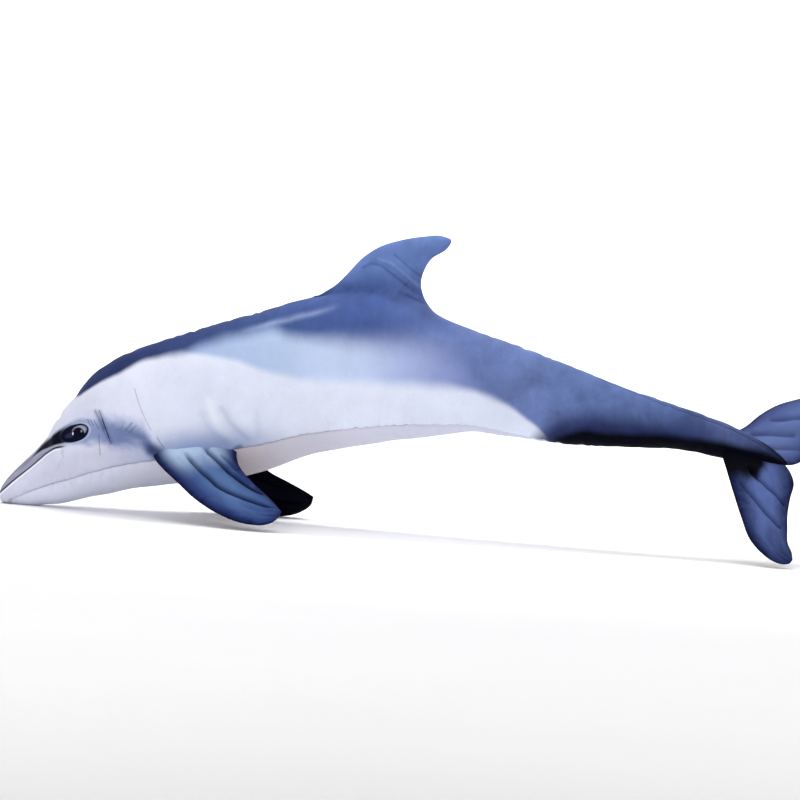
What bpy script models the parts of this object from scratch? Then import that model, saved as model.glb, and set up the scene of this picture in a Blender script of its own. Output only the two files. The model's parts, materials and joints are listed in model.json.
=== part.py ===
"""Plush dolphin, stuffed, lying on its chin, its two flippers and the tip of its left fluke.

Metres, +Z up, beak towards -X, the dolphin's own left side towards -Y. The body is drawn as it is cut and sewn,
and is then pitched until its chin and its left fluke touch the floor together. The flippers droop until they touch
the floor too. Every layer of cloth is a closed sheet, and the stuffing fills what the sheets enclose."""

import functools
import math

import bmesh
import bpy
import numpy as np
from mathutils import Matrix, Vector

# Cloth, and the clearance between layers and across a seam
FABRIC = 0.0015
LAYER_GAP = 0.0003
THINNEST_STUFFING = 0.0002  # each way from the middle of a flat piece, at its edge
FLOOR_DENT = 0.0009  # how far the weight flattens the cloth on the floor

# Body, from the beak tip to the notch between the flukes
BODY_LENGTH = 1.175
BODY_DEPTH = 0.243
BODY_WIDTH = 0.206
TAIL_ROLL = math.radians(48)  # the tail lies over, left fluke down
TAIL_SLOPE = math.radians(22)  # how steeply the last of the tail runs down

# Dorsal fin, whose station is the middle of its root
FIN_STATION = 0.584
FIN_CHORD = 0.190
FIN_HEIGHT = 0.093
FIN_THICKNESS = 0.040
FIN_ROOT_DEPTH = 0.045  # how far its stuffing runs down into the body

# Flippers, sewn into the belly seams
FLIPPER_STATION = 0.298
FLIPPER_CHORD = 0.130
FLIPPER_SPAN = 0.158
FLIPPER_THICKNESS = 0.026
FLIPPER_SWEEP = {-1: math.radians(0), 1: math.radians(12)}  # the right one lies further back

# Flukes, one lobe on each side of the tail
LOBE_STATION = 1.128
LOBE_LENGTH = 0.150
LOBE_SPAN = 0.185
LOBE_THICKNESS = 0.024

# Fineness of the sheets
BODY_ROWS = 34
SIDE_COLUMNS = 8
BELLY_COLUMNS = 4
FIN_GRID = (8, 8)
LIMB_GRID = (7, 8)
EDGE_SLACK = 0.8  # how full the stuffing's edge is of the height between the sheets there
EDGE_DRAWN_IN = 0.45  # of a facet, from the seam of a flat piece in to the edge of its stuffing

# Body stations: share of the length, crown and keel as shares of the depth above the beak tip, breadth as a share
# of the width, and half the angle that the belly panel takes of the section, in degrees
STATIONS = (
    (0.000, 0.000, 0.000, 0.00, 0),
    (0.005, 0.068, -0.052, 0.17, 22),
    (0.019, 0.155, -0.060, 0.24, 55),
    (0.038, 0.250, -0.062, 0.30, 66),
    (0.056, 0.350, -0.055, 0.37, 66),
    (0.071, 0.490, -0.045, 0.49, 62),
    (0.092, 0.612, -0.020, 0.63, 58),
    (0.121, 0.770, 0.012, 0.76, 55),
    (0.160, 0.880, 0.048, 0.86, 54),
    (0.211, 0.970, 0.078, 0.95, 53),
    (0.274, 1.070, 0.100, 1.00, 53),
    (0.330, 1.145, 0.155, 0.99, 51),
    (0.396, 1.230, 0.265, 0.94, 45),
    (0.480, 1.268, 0.335, 0.85, 41),
    (0.550, 1.180, 0.385, 0.75, 37),
    (0.610, 1.020, 0.415, 0.64, 29),
    (0.665, 0.925, 0.378, 0.55, 20),
    (0.728, 0.805, 0.335, 0.45, 10),
    (0.804, 0.662, 0.322, 0.34, 0),
    (0.875, 0.545, 0.292, 0.25, 0),
    (0.925, 0.465, 0.238, 0.21, 0),
    (0.960, 0.380, 0.180, 0.18, 0),
    (0.985, 0.295, 0.170, 0.12, 0),
    (1.000, 0.225, 0.225, 0.00, 0),
)
ROLL_STARTS = 0.72  # share of the length where the tail begins to lie over
SECTION_FULLNESS = 1.06  # 1 is an ellipse, and more is squarer

# Outlines of the flat-cut pieces, leading edge and trailing edge from root to tip, in shares of chord and span
FIN_LEADING = ((-0.66, -1.0), (-0.58, 0.02), (-0.39, 0.27), (-0.20, 0.62), (0.06, 0.92), (0.32, 1.00), (0.46, 0.965))
FIN_TRAILING = ((0.48, -1.0), (0.26, -0.15), (0.17, 0.20), (0.19, 0.48), (0.30, 0.74), (0.42, 0.91), (0.46, 0.965))
FLIPPER_LEADING = ((-0.55, -0.12), (-0.27, 0.36), (0.10, 0.74), (0.47, 0.95), (0.80, 0.99), (0.99, 0.87))
FLIPPER_TRAILING = ((0.50, -0.22), (0.47, 0.06), (0.53, 0.26), (0.70, 0.50), (0.90, 0.73), (0.99, 0.87))
LOBE_LEADING = ((-0.42, 0.02), (-0.02, 0.48), (0.30, 0.85), (0.52, 0.99), (0.70, 0.985), (0.78, 0.90))
LOBE_TRAILING = ((0.34, 0.02), (0.51, 0.14), (0.54, 0.36), (0.61, 0.64), (0.71, 0.82), (0.78, 0.90))


def spline(points, at):
    """A smooth curve through points, each at its own share of the way, by the chords between them."""
    points = np.asarray(points, float)
    knots = np.concatenate([[0], np.cumsum(np.linalg.norm(np.diff(points, axis=0), axis=1))])
    slopes = np.gradient(points, knots, axis=0)
    place = at * knots[-1]
    i = min(int(np.searchsorted(knots, place, side="right")) - 1, len(knots) - 2)
    step = knots[i + 1] - knots[i]
    t = (place - knots[i]) / step
    return (
        (1 + 2 * t) * (1 - t) ** 2 * points[i]
        + t * (1 - t) ** 2 * step * slopes[i]
        + t * t * (3 - 2 * t) * points[i + 1]
        + t * t * (t - 1) * step * slopes[i + 1]
    )


def smooth_step(x):
    x = min(max(x, 0), 1)
    return x * x * (3 - 2 * x)


@functools.lru_cache(maxsize=None)
def body_section(u):
    """Along, middle height, half depth, half width and half belly angle at u, which runs from 0 to 1."""
    along, crown, keel, breadth, belly = spline([(*s[:4], s[4] / 360) for s in STATIONS], u)
    middle = (crown + keel) / 2 * BODY_DEPTH
    half_depth = max(crown - keel, 0) / 2 * BODY_DEPTH
    return along * BODY_LENGTH, middle, half_depth, max(breadth, 0) / 2 * BODY_WIDTH, math.radians(max(belly, 0) * 360)


def body_skin(u, around):
    """A point of the body's outer surface; around is 0 on the back and turns down the left side."""
    x, middle, half_depth, half_width, _ = body_section(u)
    roll = TAIL_ROLL * smooth_step((x / BODY_LENGTH - ROLL_STARTS) / (1 - ROLL_STARTS))
    across = math.copysign(abs(math.sin(around)) ** (1 / SECTION_FULLNESS), math.sin(around)) * -half_width
    up = math.copysign(abs(math.cos(around)) ** (1 / SECTION_FULLNESS), math.cos(around)) * half_depth
    y = across * math.cos(roll) - up * math.sin(roll)
    z = across * math.sin(roll) + up * math.cos(roll)
    return Vector((x, y, middle + z))


def body_point(u, around, depth=0):
    """The point that lies depth under the body's surface."""
    e = 1e-4
    if u < e or u > 1 - e:
        return body_skin(u, around) + Vector((1 if u < e else -1, 0, 0)) * depth
    along = body_skin(u + e, around) - body_skin(u - e, around)
    turn = body_skin(u, around + 0.01) - body_skin(u, around - 0.01)
    return body_skin(u, around) + along.cross(turn).normalized() * depth


def station(x):
    """The u at which the body reaches x."""
    low, high = 0, 1
    for _ in range(40):
        middle = (low + high) / 2
        low, high = (middle, high) if body_section(middle)[0] < x else (low, middle)
    return low


def swell(chord, span):
    """How full a stuffed lens is: 1 in the middle of its root, 0 along its seam."""
    return (1 - (2 * chord - 1) ** 2) * (1 - max(span, 0) ** 2.5)


def lens_plan(leading, trailing, size, chord, span):
    ahead, behind = spline(leading, span), spline(trailing, span)
    return (ahead * (1 - chord) + behind * chord) * size


def material(name, colour, roughness):
    made = bpy.data.materials.new(name)
    made.use_nodes = True
    shader = made.node_tree.nodes["Principled BSDF"]
    shader.inputs["Base Color"].default_value = (*colour, 1)
    shader.inputs["Roughness"].default_value = roughness
    shader.inputs["Metallic"].default_value = 0
    return made


def add_object(name, bm, collection, parent):
    mesh = bpy.data.meshes.new(name)
    bm.to_mesh(mesh)
    bm.free()
    mesh.shade_smooth()
    made = bpy.data.objects.new(name, mesh)
    made.parent = parent
    collection.objects.link(made)
    return made


def closed_sheet(columns, rows, place):
    """A grid made into a closed sheet: place(u, v, side) puts its inner face at side 0 and its outer at 1."""
    bm = bmesh.new()
    bmesh.ops.create_grid(bm, x_segments=columns, y_segments=rows, size=1)
    bmesh.ops.triangulate(bm, faces=bm.faces[:], quad_method="FIXED")
    for corner in bm.verts:
        corner.co = ((corner.co.x + 1) / 2, (corner.co.y + 1) / 2, 0)
    made = bmesh.ops.extrude_face_region(bm, geom=bm.faces[:], use_keep_orig=True)
    outer = {item for item in made["geom"] if isinstance(item, bmesh.types.BMVert)}
    for corner in bm.verts:
        corner.co = place(corner.co.x, corner.co.y, 1 if corner in outer else 0)
    return sewn(bm)


def sewn(bm):
    bmesh.ops.remove_doubles(bm, verts=bm.verts[:], dist=1e-6)
    bmesh.ops.dissolve_degenerate(bm, edges=bm.edges[:], dist=1e-7)
    bmesh.ops.recalc_face_normals(bm, faces=bm.faces[:])
    return bm


def belly_half(row):
    return body_section(row / BODY_ROWS)[4]


def belly_rows():
    """The first and last row of the belly panel, at which it comes to a point."""
    wide = [row for row in range(BODY_ROWS + 1) if belly_half(row) > math.radians(4)]
    return wide[0] - 1, wide[-1] + 1


def seam_angle(row):
    """Half the belly panel's angle at a row of the sheets."""
    first, last = belly_rows()
    return belly_half(row) if first < row < last else 0


def seam_margin(row):
    """The angle of half the seam's clearance at a row."""
    _, _, half_depth, half_width, _ = body_section(row / BODY_ROWS)
    return LAYER_GAP / max(half_depth + half_width, LAYER_GAP)


def side_sheet(side):
    """The cloth between the back seam and the belly seam; side is -1 on the left and 1 on the right."""

    def place(u, v, outer):
        row = round(u * BODY_ROWS)
        angle = seam_angle(row)
        edge = math.pi - angle - (seam_margin(row) if angle else 0)
        around = v * edge if side < 0 else 2 * math.pi - (1 - v) * edge
        point = body_point(u, around, 0 if outer else FABRIC)
        return point + Vector((0, side * LAYER_GAP / 2, 0))

    return closed_sheet(BODY_ROWS, SIDE_COLUMNS, place)


def belly_sheet():
    first, last = belly_rows()

    def place(u, v, outer):
        row = round(first + u * (last - first))
        edge = max(seam_angle(row) - seam_margin(row), 0)
        return body_point(row / BODY_ROWS, math.pi + (2 * v - 1) * edge, 0 if outer else FABRIC)

    return closed_sheet(last - first, BELLY_COLUMNS, place)


def body_solid(depth):
    """The whole body's form, depth under its surface, with corners at the same places as the cloth's."""
    columns = 2 * SIDE_COLUMNS + BELLY_COLUMNS
    bm = bmesh.new()
    bmesh.ops.create_grid(bm, x_segments=BODY_ROWS, y_segments=columns, size=1)
    bmesh.ops.triangulate(bm, faces=bm.faces[:], quad_method="FIXED")
    for corner in bm.verts:
        u, v = (corner.co.x + 1) / 2, (corner.co.y + 1) / 2
        angle, column = seam_angle(round(u * BODY_ROWS)), round(v * columns)
        if column <= SIDE_COLUMNS:
            around = (math.pi - angle) * column / SIDE_COLUMNS
        elif column < SIDE_COLUMNS + BELLY_COLUMNS:
            around = math.pi + angle * (2 * (column - SIDE_COLUMNS) / BELLY_COLUMNS - 1)
        else:
            around = 2 * math.pi - (math.pi - angle) * (columns - column) / SIDE_COLUMNS
        corner.co = body_point(u, around, depth)
    return sewn(bm)


def lens_sheet(grid, plan, thickness, frame, side):
    """One side's cloth of a stuffed lens: side is 1 above its own plane and -1 below it."""

    def place(u, v, outer):
        a, b = plan(u, v)
        height = LAYER_GAP / 2 + thickness / 2 * swell(u, v) + (FABRIC if outer else 0)
        return frame @ Vector((a, b, side * height))

    return closed_sheet(*grid, place)


def lens_solid(grid, plan, thickness, frame, under, least):
    """The form that lies under by that much inside a lens's cloth. It follows the flat facets of the cloth, and its
    edge is drawn in by a part of a facet, to where the two sheets stand far enough apart."""
    columns, rows = grid

    def facet_corners(share, count):
        low = min(int(share), count - 1)
        return (low, 1 - share + low), (low + 1, share - low)

    def place(u, v, outer):
        across = min(max(u * columns, EDGE_DRAWN_IN), columns - EDGE_DRAWN_IN)
        along = min(v * rows, rows - EDGE_DRAWN_IN)
        spot = np.zeros(3)
        for i, part_i in facet_corners(across, columns):
            for j, part_j in facet_corners(along, rows):
                height = LAYER_GAP / 2 + thickness / 2 * swell(i / columns, j / rows)
                spot += part_i * part_j * np.array([*plan(i / columns, j / rows), height])
        at_edge = (across, along) != (u * columns, v * rows)
        height = max(spot[2] * (EDGE_SLACK if at_edge else 1) - under, least)
        return frame @ Vector((spot[0], spot[1], height if outer else -height))

    return closed_sheet(*grid, place)


def frame_of(origin, chord_way, span_way, up_way):
    turned = Matrix((chord_way, span_way, up_way)).transposed().to_4x4()
    return Matrix.Translation(origin) @ turned


@functools.lru_cache(maxsize=None)
def fin_plan(chord, span):
    a, b = lens_plan(FIN_LEADING, FIN_TRAILING, (FIN_CHORD, 1), chord, span)
    return np.array([a, b * (FIN_HEIGHT if b > 0 else FIN_ROOT_DEPTH)])


@functools.lru_cache(maxsize=None)
def flipper_plan(chord, span):
    return lens_plan(FLIPPER_LEADING, FLIPPER_TRAILING, (FLIPPER_CHORD, FLIPPER_SPAN), chord, span)


@functools.lru_cache(maxsize=None)
def lobe_plan(chord, span):
    return lens_plan(LOBE_LEADING, LOBE_TRAILING, (LOBE_LENGTH, LOBE_SPAN), chord, span)


def fin_frame():
    root = body_skin(station(FIN_STATION), 0)
    return frame_of(root, (1, 0, 0), (0, 0, 1), (0, -1, 0))


def flipper_frame(side, droop):
    """On the belly seam, hanging out and down; side is -1 on the left and 1 on the right."""
    u = station(FLIPPER_STATION)
    root = body_skin(u, (math.pi - body_section(u)[4]) * -side)
    aft, out = Vector((1, 0, 0)), Vector((0, side * math.cos(droop), -math.sin(droop)))
    up = Vector((0, side * math.sin(droop), math.cos(droop)))
    sweep = FLIPPER_SWEEP[side]
    chord_way = aft * math.cos(sweep) - out * math.sin(sweep)
    return frame_of(root, chord_way, out * math.cos(sweep) + aft * math.sin(sweep), up)


def lobe_frame(side):
    aft = Vector((math.cos(TAIL_SLOPE), 0, -math.sin(TAIL_SLOPE)))
    level_up = Vector((math.sin(TAIL_SLOPE), 0, math.cos(TAIL_SLOPE)))
    right = Vector((0, math.cos(TAIL_ROLL), 0)) + level_up * math.sin(TAIL_ROLL)
    up = level_up * math.cos(TAIL_ROLL) - Vector((0, math.sin(TAIL_ROLL), 0))
    x, middle, *_ = body_section(station(LOBE_STATION))
    return frame_of(Vector((x, 0, middle)), aft, side * right, up)


def lens_points(plan, thickness, frame):
    """The outer surface of a lens on the corners of its sheets."""
    columns, rows = LIMB_GRID
    found = []
    for u in np.linspace(0, 1, columns + 1):
        for v in np.linspace(0, 1, rows + 1):
            a, b = plan(u, v)
            height = LAYER_GAP / 2 + FABRIC + thickness / 2 * swell(u, v)
            found += [frame @ Vector((a, b, height)), frame @ Vector((a, b, -height))]
    return np.array(found)


def lowest(points, pitch):
    return (points[:, 2] * math.cos(pitch) + points[:, 0] * math.sin(pitch)).min()


def bisect(is_low, low, high):
    """The value between low and high at which is_low turns false."""
    for _ in range(40):
        middle = (low + high) / 2
        low, high = (middle, high) if is_low(middle) else (low, middle)
    return (low + high) / 2


def resting_angles():
    """The pitch that puts the chin and the left fluke on the floor, and the droop that takes the flippers there."""
    angles = np.linspace(0, 2 * math.pi, 2 * SIDE_COLUMNS + BELLY_COLUMNS)
    body = np.array([body_skin(row / BODY_ROWS, a) for row in range(BODY_ROWS) for a in angles])
    chin = body[body[:, 0] < FLIPPER_STATION]
    fluke = lens_points(lobe_plan, LOBE_THICKNESS, lobe_frame(-1))
    pitch = bisect(lambda p: lowest(fluke, p) < lowest(chin, p), 0, math.radians(20))

    def hangs_short(side, droop):
        flipper = lens_points(flipper_plan, FLIPPER_THICKNESS, flipper_frame(side, droop))
        return lowest(flipper, pitch) > lowest(chin, pitch)

    droops = {side: bisect(functools.partial(hangs_short, side), 0, math.radians(85)) for side in (-1, 1)}
    return pitch, droops


def cut(piece, cutter, operation="DIFFERENCE"):
    made = piece.modifiers.new(f"{operation.lower()}_{cutter.name}", "BOOLEAN")
    made.object = cutter
    made.operation = operation
    made.solver = "EXACT"


def hide_helper(helper):
    helper.hide_render = True
    helper.display_type = "WIRE"


def main():
    for old in list(bpy.data.objects):
        bpy.data.objects.remove(old)
    parts = bpy.data.collections.new("plush_dolphin")
    helpers = bpy.data.collections.new("cutters")
    for collection in (parts, helpers):
        bpy.context.scene.collection.children.link(collection)

    back = material("printed_velour_back", (0.085, 0.12, 0.30), 0.75)
    pale = material("printed_velour_belly", (0.58, 0.59, 0.68), 0.75)
    limb_top = material("printed_velour_limb", (0.09, 0.14, 0.36), 0.75)
    limb_under = material("printed_velour_underside", (0.01, 0.015, 0.05), 0.75)
    stuffing = material("polyester_stuffing", (0.85, 0.85, 0.82), 0.95)

    pitch, droops = resting_angles()
    rest = bpy.data.objects.new("rest", None)
    parts.objects.link(rest)
    rest.rotation_euler.y = -pitch

    def helper(name, bm):
        made = add_object(name, bm, helpers, rest)
        hide_helper(made)
        return made

    def part(name, bm, finish):
        made = add_object(name, bm, parts, rest)
        made.data.materials.append(finish)
        return made

    # What the pieces are cut with
    clear_of_body = helper("body_with_clearance", body_solid(-LAYER_GAP))
    inside_skin = helper("inside_of_side_cloth", body_solid(FABRIC / 2))
    fin_at = fin_frame()
    fin_args = (FIN_GRID, fin_plan, FIN_THICKNESS, fin_at)
    fin_mouth = helper("fin_mouth", lens_solid(*fin_args, -FABRIC / 2, FABRIC / 2))
    fin_stuffing = helper("fin_stuffing", lens_solid(*fin_args, LAYER_GAP, THINNEST_STUFFING))
    floor = bmesh.new()
    bmesh.ops.create_cube(floor, size=2 * BODY_LENGTH)
    floor_block = add_object("floor_block", floor, helpers, None)
    floor_block.location.z = -BODY_LENGTH
    hide_helper(floor_block)

    # Body: a side panel with half of the fin on each side, the belly panel and the stuffing
    for side, word in ((-1, "left"), (1, "right")):
        half_fin = helper(f"fin_half_{word}", lens_sheet(*fin_args, -side))
        cut(half_fin, inside_skin)
        panel = part(f"side_panel_{word}", side_sheet(side), back)
        cut(panel, fin_mouth)
        cut(panel, half_fin, "UNION")
        cut(panel, floor_block)
    belly = part("belly_panel", belly_sheet(), pale)
    cut(belly, floor_block)
    stuffed = part("body_stuffing", body_solid(FABRIC + LAYER_GAP), stuffing)
    cut(stuffed, fin_stuffing, "UNION")

    # Flippers and flukes: a top and an underside sewn round the edge, with stuffing between
    for side, word in ((-1, "left"), (1, "right")):
        for name, plan, thickness, frame in (
            (f"flipper_{word}", flipper_plan, FLIPPER_THICKNESS, flipper_frame(side, droops[side])),
            (f"fluke_{word}", lobe_plan, LOBE_THICKNESS, lobe_frame(side)),
        ):
            args = (LIMB_GRID, plan, thickness, frame)
            pieces = (
                part(f"{name}_top", lens_sheet(*args, 1), limb_top),
                part(f"{name}_underside", lens_sheet(*args, -1), limb_under),
                part(f"{name}_stuffing", lens_solid(*args, LAYER_GAP, THINNEST_STUFFING), stuffing),
            )
            for piece in pieces:
                cut(piece, clear_of_body)
                cut(piece, floor_block)

    # The origin goes under the middle of the whole, on the floor
    bpy.context.view_layer.update()
    corners = np.array([made.matrix_world @ v.co for made in parts.objects if made.data for v in made.data.vertices])
    low, high = corners.min(axis=0), corners.max(axis=0)
    rest.location = (-(low[0] + high[0]) / 2, -(low[1] + high[1]) / 2, -low[2] - FLOOR_DENT)


main()
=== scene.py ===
# Large stuffed dolphin in printed velour: cloth panels, quilted flippers and flukes, fibre filling, studio.
import json
import math

import bmesh
import bpy
import numpy as np
from mathutils import Matrix, Vector

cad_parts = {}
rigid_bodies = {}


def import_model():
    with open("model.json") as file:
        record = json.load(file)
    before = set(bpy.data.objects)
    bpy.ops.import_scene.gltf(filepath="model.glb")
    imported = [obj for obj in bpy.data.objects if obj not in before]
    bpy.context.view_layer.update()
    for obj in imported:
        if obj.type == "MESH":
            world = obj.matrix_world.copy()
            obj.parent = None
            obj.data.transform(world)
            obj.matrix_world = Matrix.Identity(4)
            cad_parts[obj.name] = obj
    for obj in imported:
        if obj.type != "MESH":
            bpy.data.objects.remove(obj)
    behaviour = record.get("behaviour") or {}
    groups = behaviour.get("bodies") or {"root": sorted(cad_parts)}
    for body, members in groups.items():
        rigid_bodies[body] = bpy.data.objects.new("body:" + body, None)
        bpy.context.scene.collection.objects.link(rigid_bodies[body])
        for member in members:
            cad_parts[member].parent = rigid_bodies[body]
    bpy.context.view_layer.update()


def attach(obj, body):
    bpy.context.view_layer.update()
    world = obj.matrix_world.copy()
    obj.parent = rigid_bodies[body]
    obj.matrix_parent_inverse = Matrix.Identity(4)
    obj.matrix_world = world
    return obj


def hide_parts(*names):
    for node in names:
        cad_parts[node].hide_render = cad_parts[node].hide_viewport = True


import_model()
mm = 0.001

# The body's form in metres, a few millimetres fuller than its solids at jaw and belly. A station is a place
# in shares of the length, the back and the keel there in shares of the depth, the width in shares of the
# width, and half the belly panel's angle in degrees
body = {
    "length": 1.175,
    "depth": 0.243,
    "width": 0.206,
    "tailRoll": math.radians(48),  # the tail lies over, left fluke down
    "rollStarts": 0.66,
    "fullness": 1.06,
    "pitch": math.radians(4.0568),
    "place": (-0.63506, 0.01642, 0.01218),
    "cloth": 1.5 * mm,
    "seamGap": 0.3 * mm,
    "headRows": 168,
    "finRows": 140,
    "tailRows": 108,
    "columns": 94,
    "bellyRows": 300,
    "bellyColumns": 44,
    "columnDraw": 0.55,  # how much finer the columns are at the seams
    "stations": (
        (0.000, 0.000, 0.000, 0.00, 0),
        (0.005, 0.068, -0.052, 0.17, 22),
        (0.019, 0.155, -0.060, 0.24, 55),
        (0.038, 0.250, -0.062, 0.30, 66),
        (0.056, 0.350, -0.055, 0.37, 66),
        (0.071, 0.490, -0.052, 0.49, 62),
        (0.092, 0.614, -0.031, 0.63, 58),
        (0.121, 0.776, 0.001, 0.76, 55),
        (0.160, 0.888, 0.038, 0.86, 54),
        (0.211, 0.978, 0.071, 0.95, 53),
        (0.274, 1.070, 0.100, 1.00, 53),
        (0.330, 1.145, 0.155, 0.99, 51),
        (0.396, 1.230, 0.265, 0.94, 45),
        (0.480, 1.268, 0.335, 0.85, 41),
        (0.550, 1.180, 0.379, 0.75, 37),
        (0.610, 1.020, 0.406, 0.64, 29),
        (0.665, 0.925, 0.369, 0.55, 20),
        (0.728, 0.807, 0.331, 0.45, 10),
        (0.804, 0.662, 0.322, 0.34, 0),
        (0.875, 0.547, 0.300, 0.25, 0),
        (0.925, 0.467, 0.248, 0.21, 0),
        (0.960, 0.382, 0.192, 0.18, 0),
        (0.985, 0.295, 0.170, 0.12, 0),
        (1.000, 0.225, 0.225, 0.00, 0),
    ),
}

# The dorsal fin in mm along and up. Each row of the cloth grid starts on the back's line, bends past a
# middle point and ends on the fin's edge: where it starts, its edge point and its middle point
fin = {
    "rows": (
        (447, 447, 295, 447, 295),
        (460, 478, 306.5, 470, 301),
        (470, 500, 318, 486, 307),
        (480, 520, 337, 503, 319),
        (492, 540, 358, 524, 335),
        (506, 566, 375, 548, 350),
        (522, 600, 385.5, 580, 361),
        (538, 632, 390.5, 610, 373),
        (551, 661, 391, 636, 381),
        (558, 673, 385, 648, 381),
        (565, 667, 375, 645, 378),
        (574, 645, 361, 628, 372),
        (586, 632, 342, 611, 356),
        (600, 627, 322, 605, 333),
        (618, 631, 302, 611, 310),
        (636, 643, 282, 629, 291),
        (657, 660, 269.5, 656, 272),
        (678, 678, 261.5, 678, 262),
        (699, 699, 253.5, 699, 253.5),
        (720, 720, 245.6, 720, 245.6),
        (742, 742, 238.4, 742, 238.4),
    ),
    "halfThick": 0.019,
    "pillow": 0.042,  # how far in from the edge it is fully thick
    "reach": 0.42,  # share of the panel's height that is drawn up into the fin
    "melt": 0.026,  # how far its sides melt into the body's
}


def smoothStep(low, high, x):
    t = np.clip((x - low) / (high - low), 0, 1)
    return t * t * (3 - 2 * t)


# 1 on a line, falling off to both sides
def bell(distance, width):
    return np.exp(-((distance / width) ** 2))


# Counts off 0 to 1, finer near both ends the nearer draw is to 1
def drawnSteps(count, draw):
    t = np.linspace(0, 1, count)
    return t - draw * np.sin(2 * math.pi * t) / (2 * math.pi)


# A smooth curve through points, by the chords between them
def spline(points, at):
    points = np.asarray(points, float)
    knots = np.concatenate([[0], np.cumsum(np.linalg.norm(np.diff(points, axis=0), axis=1))])
    slopes = np.gradient(points, knots, axis=0)
    place = np.clip(np.asarray(at, float), 0, 1) * knots[-1]
    i = np.clip(np.searchsorted(knots, place, side="right") - 1, 0, len(knots) - 2)
    step = (knots[i + 1] - knots[i])[..., None]
    t = (place - knots[i])[..., None] / step
    return (
        (1 + 2 * t) * (1 - t) ** 2 * points[i]
        + t * (1 - t) ** 2 * step * slopes[i]
        + t * t * (3 - 2 * t) * points[i + 1]
        + t * t * (t - 1) * step * slopes[i + 1]
    )


# Along, middle height, half depth, half width, half belly angle at u, from 0 at the beak to 1 at the notch
def bodySection(u):
    made = spline([(*s[:4], s[4] / 360) for s in body["stations"]], u)
    along, crown, keel, breadth, belly = np.moveaxis(made, -1, 0)
    middle = (crown + keel) / 2 * body["depth"]
    halfDepth = np.maximum(crown - keel, 0) / 2 * body["depth"]
    halfWidth = np.maximum(breadth, 0) / 2 * body["width"]
    angle = np.radians(np.maximum(belly, 0) * 360)
    angle = np.where(along > body["stations"][18][0], 0, angle)
    return along * body["length"], middle, halfDepth, halfWidth, angle


uTable = np.linspace(0, 1, 6001)
xTable = np.maximum.accumulate(bodySection(uTable)[0])
middleTable = bodySection(uTable)[1]


def uAt(x):
    return np.interp(x, xTable, uTable)


# A section's point before the tail is rolled: along, out from the middle plane, up; around is 0 on the back
def unrolled(u, around):
    x, middle, halfDepth, halfWidth, _ = bodySection(u)
    power = 1 / body["fullness"]
    out = np.abs(np.sin(around)) ** power * halfWidth
    up = np.sign(np.cos(around)) * np.abs(np.cos(around)) ** power * halfDepth
    return np.stack([x + 0 * out, out, middle + up], axis=-1)


# How far the body lies over at x
def rollAt(x):
    share = (x / body["length"] - body["rollStarts"]) / (1 - body["rollStarts"])
    return body["tailRoll"] * smoothStep(0, 1, share)


# Puts an unrolled point on its side, -1 left and 1 right, and lays the tail over
def rolled(points, side):
    x, out, up = np.moveaxis(points, -1, 0)
    middle = np.interp(x, xTable, middleTable)
    roll = rollAt(x)
    y = side * out * np.cos(roll) - (up - middle) * np.sin(roll)
    z = middle + side * out * np.sin(roll) + (up - middle) * np.cos(roll)
    return np.stack([x, y, z], axis=-1)


# From the body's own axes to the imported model's
def toWorld(points):
    c, s = math.cos(body["pitch"]), math.sin(body["pitch"])
    turn = np.array([[c, 0, -s], [0, 1, 0], [s, 0, c]])
    return points @ turn.T + np.array(body["place"])


# The normals of a grid of body points, turned away from the body's middle line
def outwardNormals(points, u):
    centre = points.copy()
    centre[..., 1] = 0
    centre[..., 2] = bodySection(u)[1]
    along = np.gradient(points, axis=0)
    across = np.gradient(points, axis=1)
    normal = np.cross(along, across)
    size = np.linalg.norm(normal, axis=-1, keepdims=True)
    normal = normal / np.maximum(size, 1e-12)
    facing = np.sign(np.sum(normal * (points - centre), axis=-1, keepdims=True))
    return normal * np.where(facing == 0, 1, facing)


# How far each point of a grid lies from the first of its row, over the points between them
def runAcross(points):
    steps = np.linalg.norm(np.diff(points, axis=1), axis=-1)
    return np.concatenate([np.zeros((len(points), 1)), np.cumsum(steps, axis=1)], axis=1)


# How far each point lies from a line of joined points, and how far along it, from 0 to 1
def nearLine(points, line):
    line = np.asarray(line, float)
    runs = np.linalg.norm(np.diff(line, axis=0), axis=1)
    starts = np.concatenate([[0], np.cumsum(runs)])
    best = np.full(points.shape[:-1], np.inf)
    share = np.zeros(points.shape[:-1])
    for i, run in enumerate(runs):
        way = line[i + 1] - line[i]
        t = np.clip(((points - line[i]) @ way) / max(run * run, 1e-12), 0, 1)
        gap = np.linalg.norm(points - line[i] - t[..., None] * way, axis=-1)
        closer = gap < best
        share = np.where(closer, (starts[i] + t * run) / starts[-1], share)
        best = np.where(closer, gap, best)
    return best, share


# Ridges, and grooves with a height below 0, pressed into cloth: each a line, its half width and height in mm
def foldRelief(plan, folds, ending=0.7):
    relief = np.zeros(plan.shape[:-1])
    for line, width, height in folds:
        gap, share = nearLine(plan, np.array(line) * mm)
        fade = smoothStep(0, 0.25, share) * (1 - smoothStep(ending, ending + 0.3, share))
        relief += height * mm * bell(gap, width * mm) * fade
    return relief


# Gentle unevenness of a filling packed by hand: a sum of seeded waves
def unevenness(points, seed, wavelength, height):
    chance = np.random.default_rng(seed)
    relief = np.zeros(points.shape[:-1])
    for _ in range(14):
        way = chance.normal(size=3)
        way *= 2 * math.pi / (np.linalg.norm(way) * wavelength * chance.uniform(0.6, 1.6))
        relief += np.sin(points @ way + chance.uniform(0, 2 * math.pi))
    return relief * height / 3.7


# Small folds that run off a seam where its thread draws the cloth together
def seamPuckers(along, away, puckers):
    relief = np.zeros(along.shape)
    for at, lean, reach, width, height in puckers:
        fade = 1 - smoothStep(0.15 * reach, reach, away)
        relief += height * bell(along - at - lean * away, width) * fade
    return relief


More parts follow.
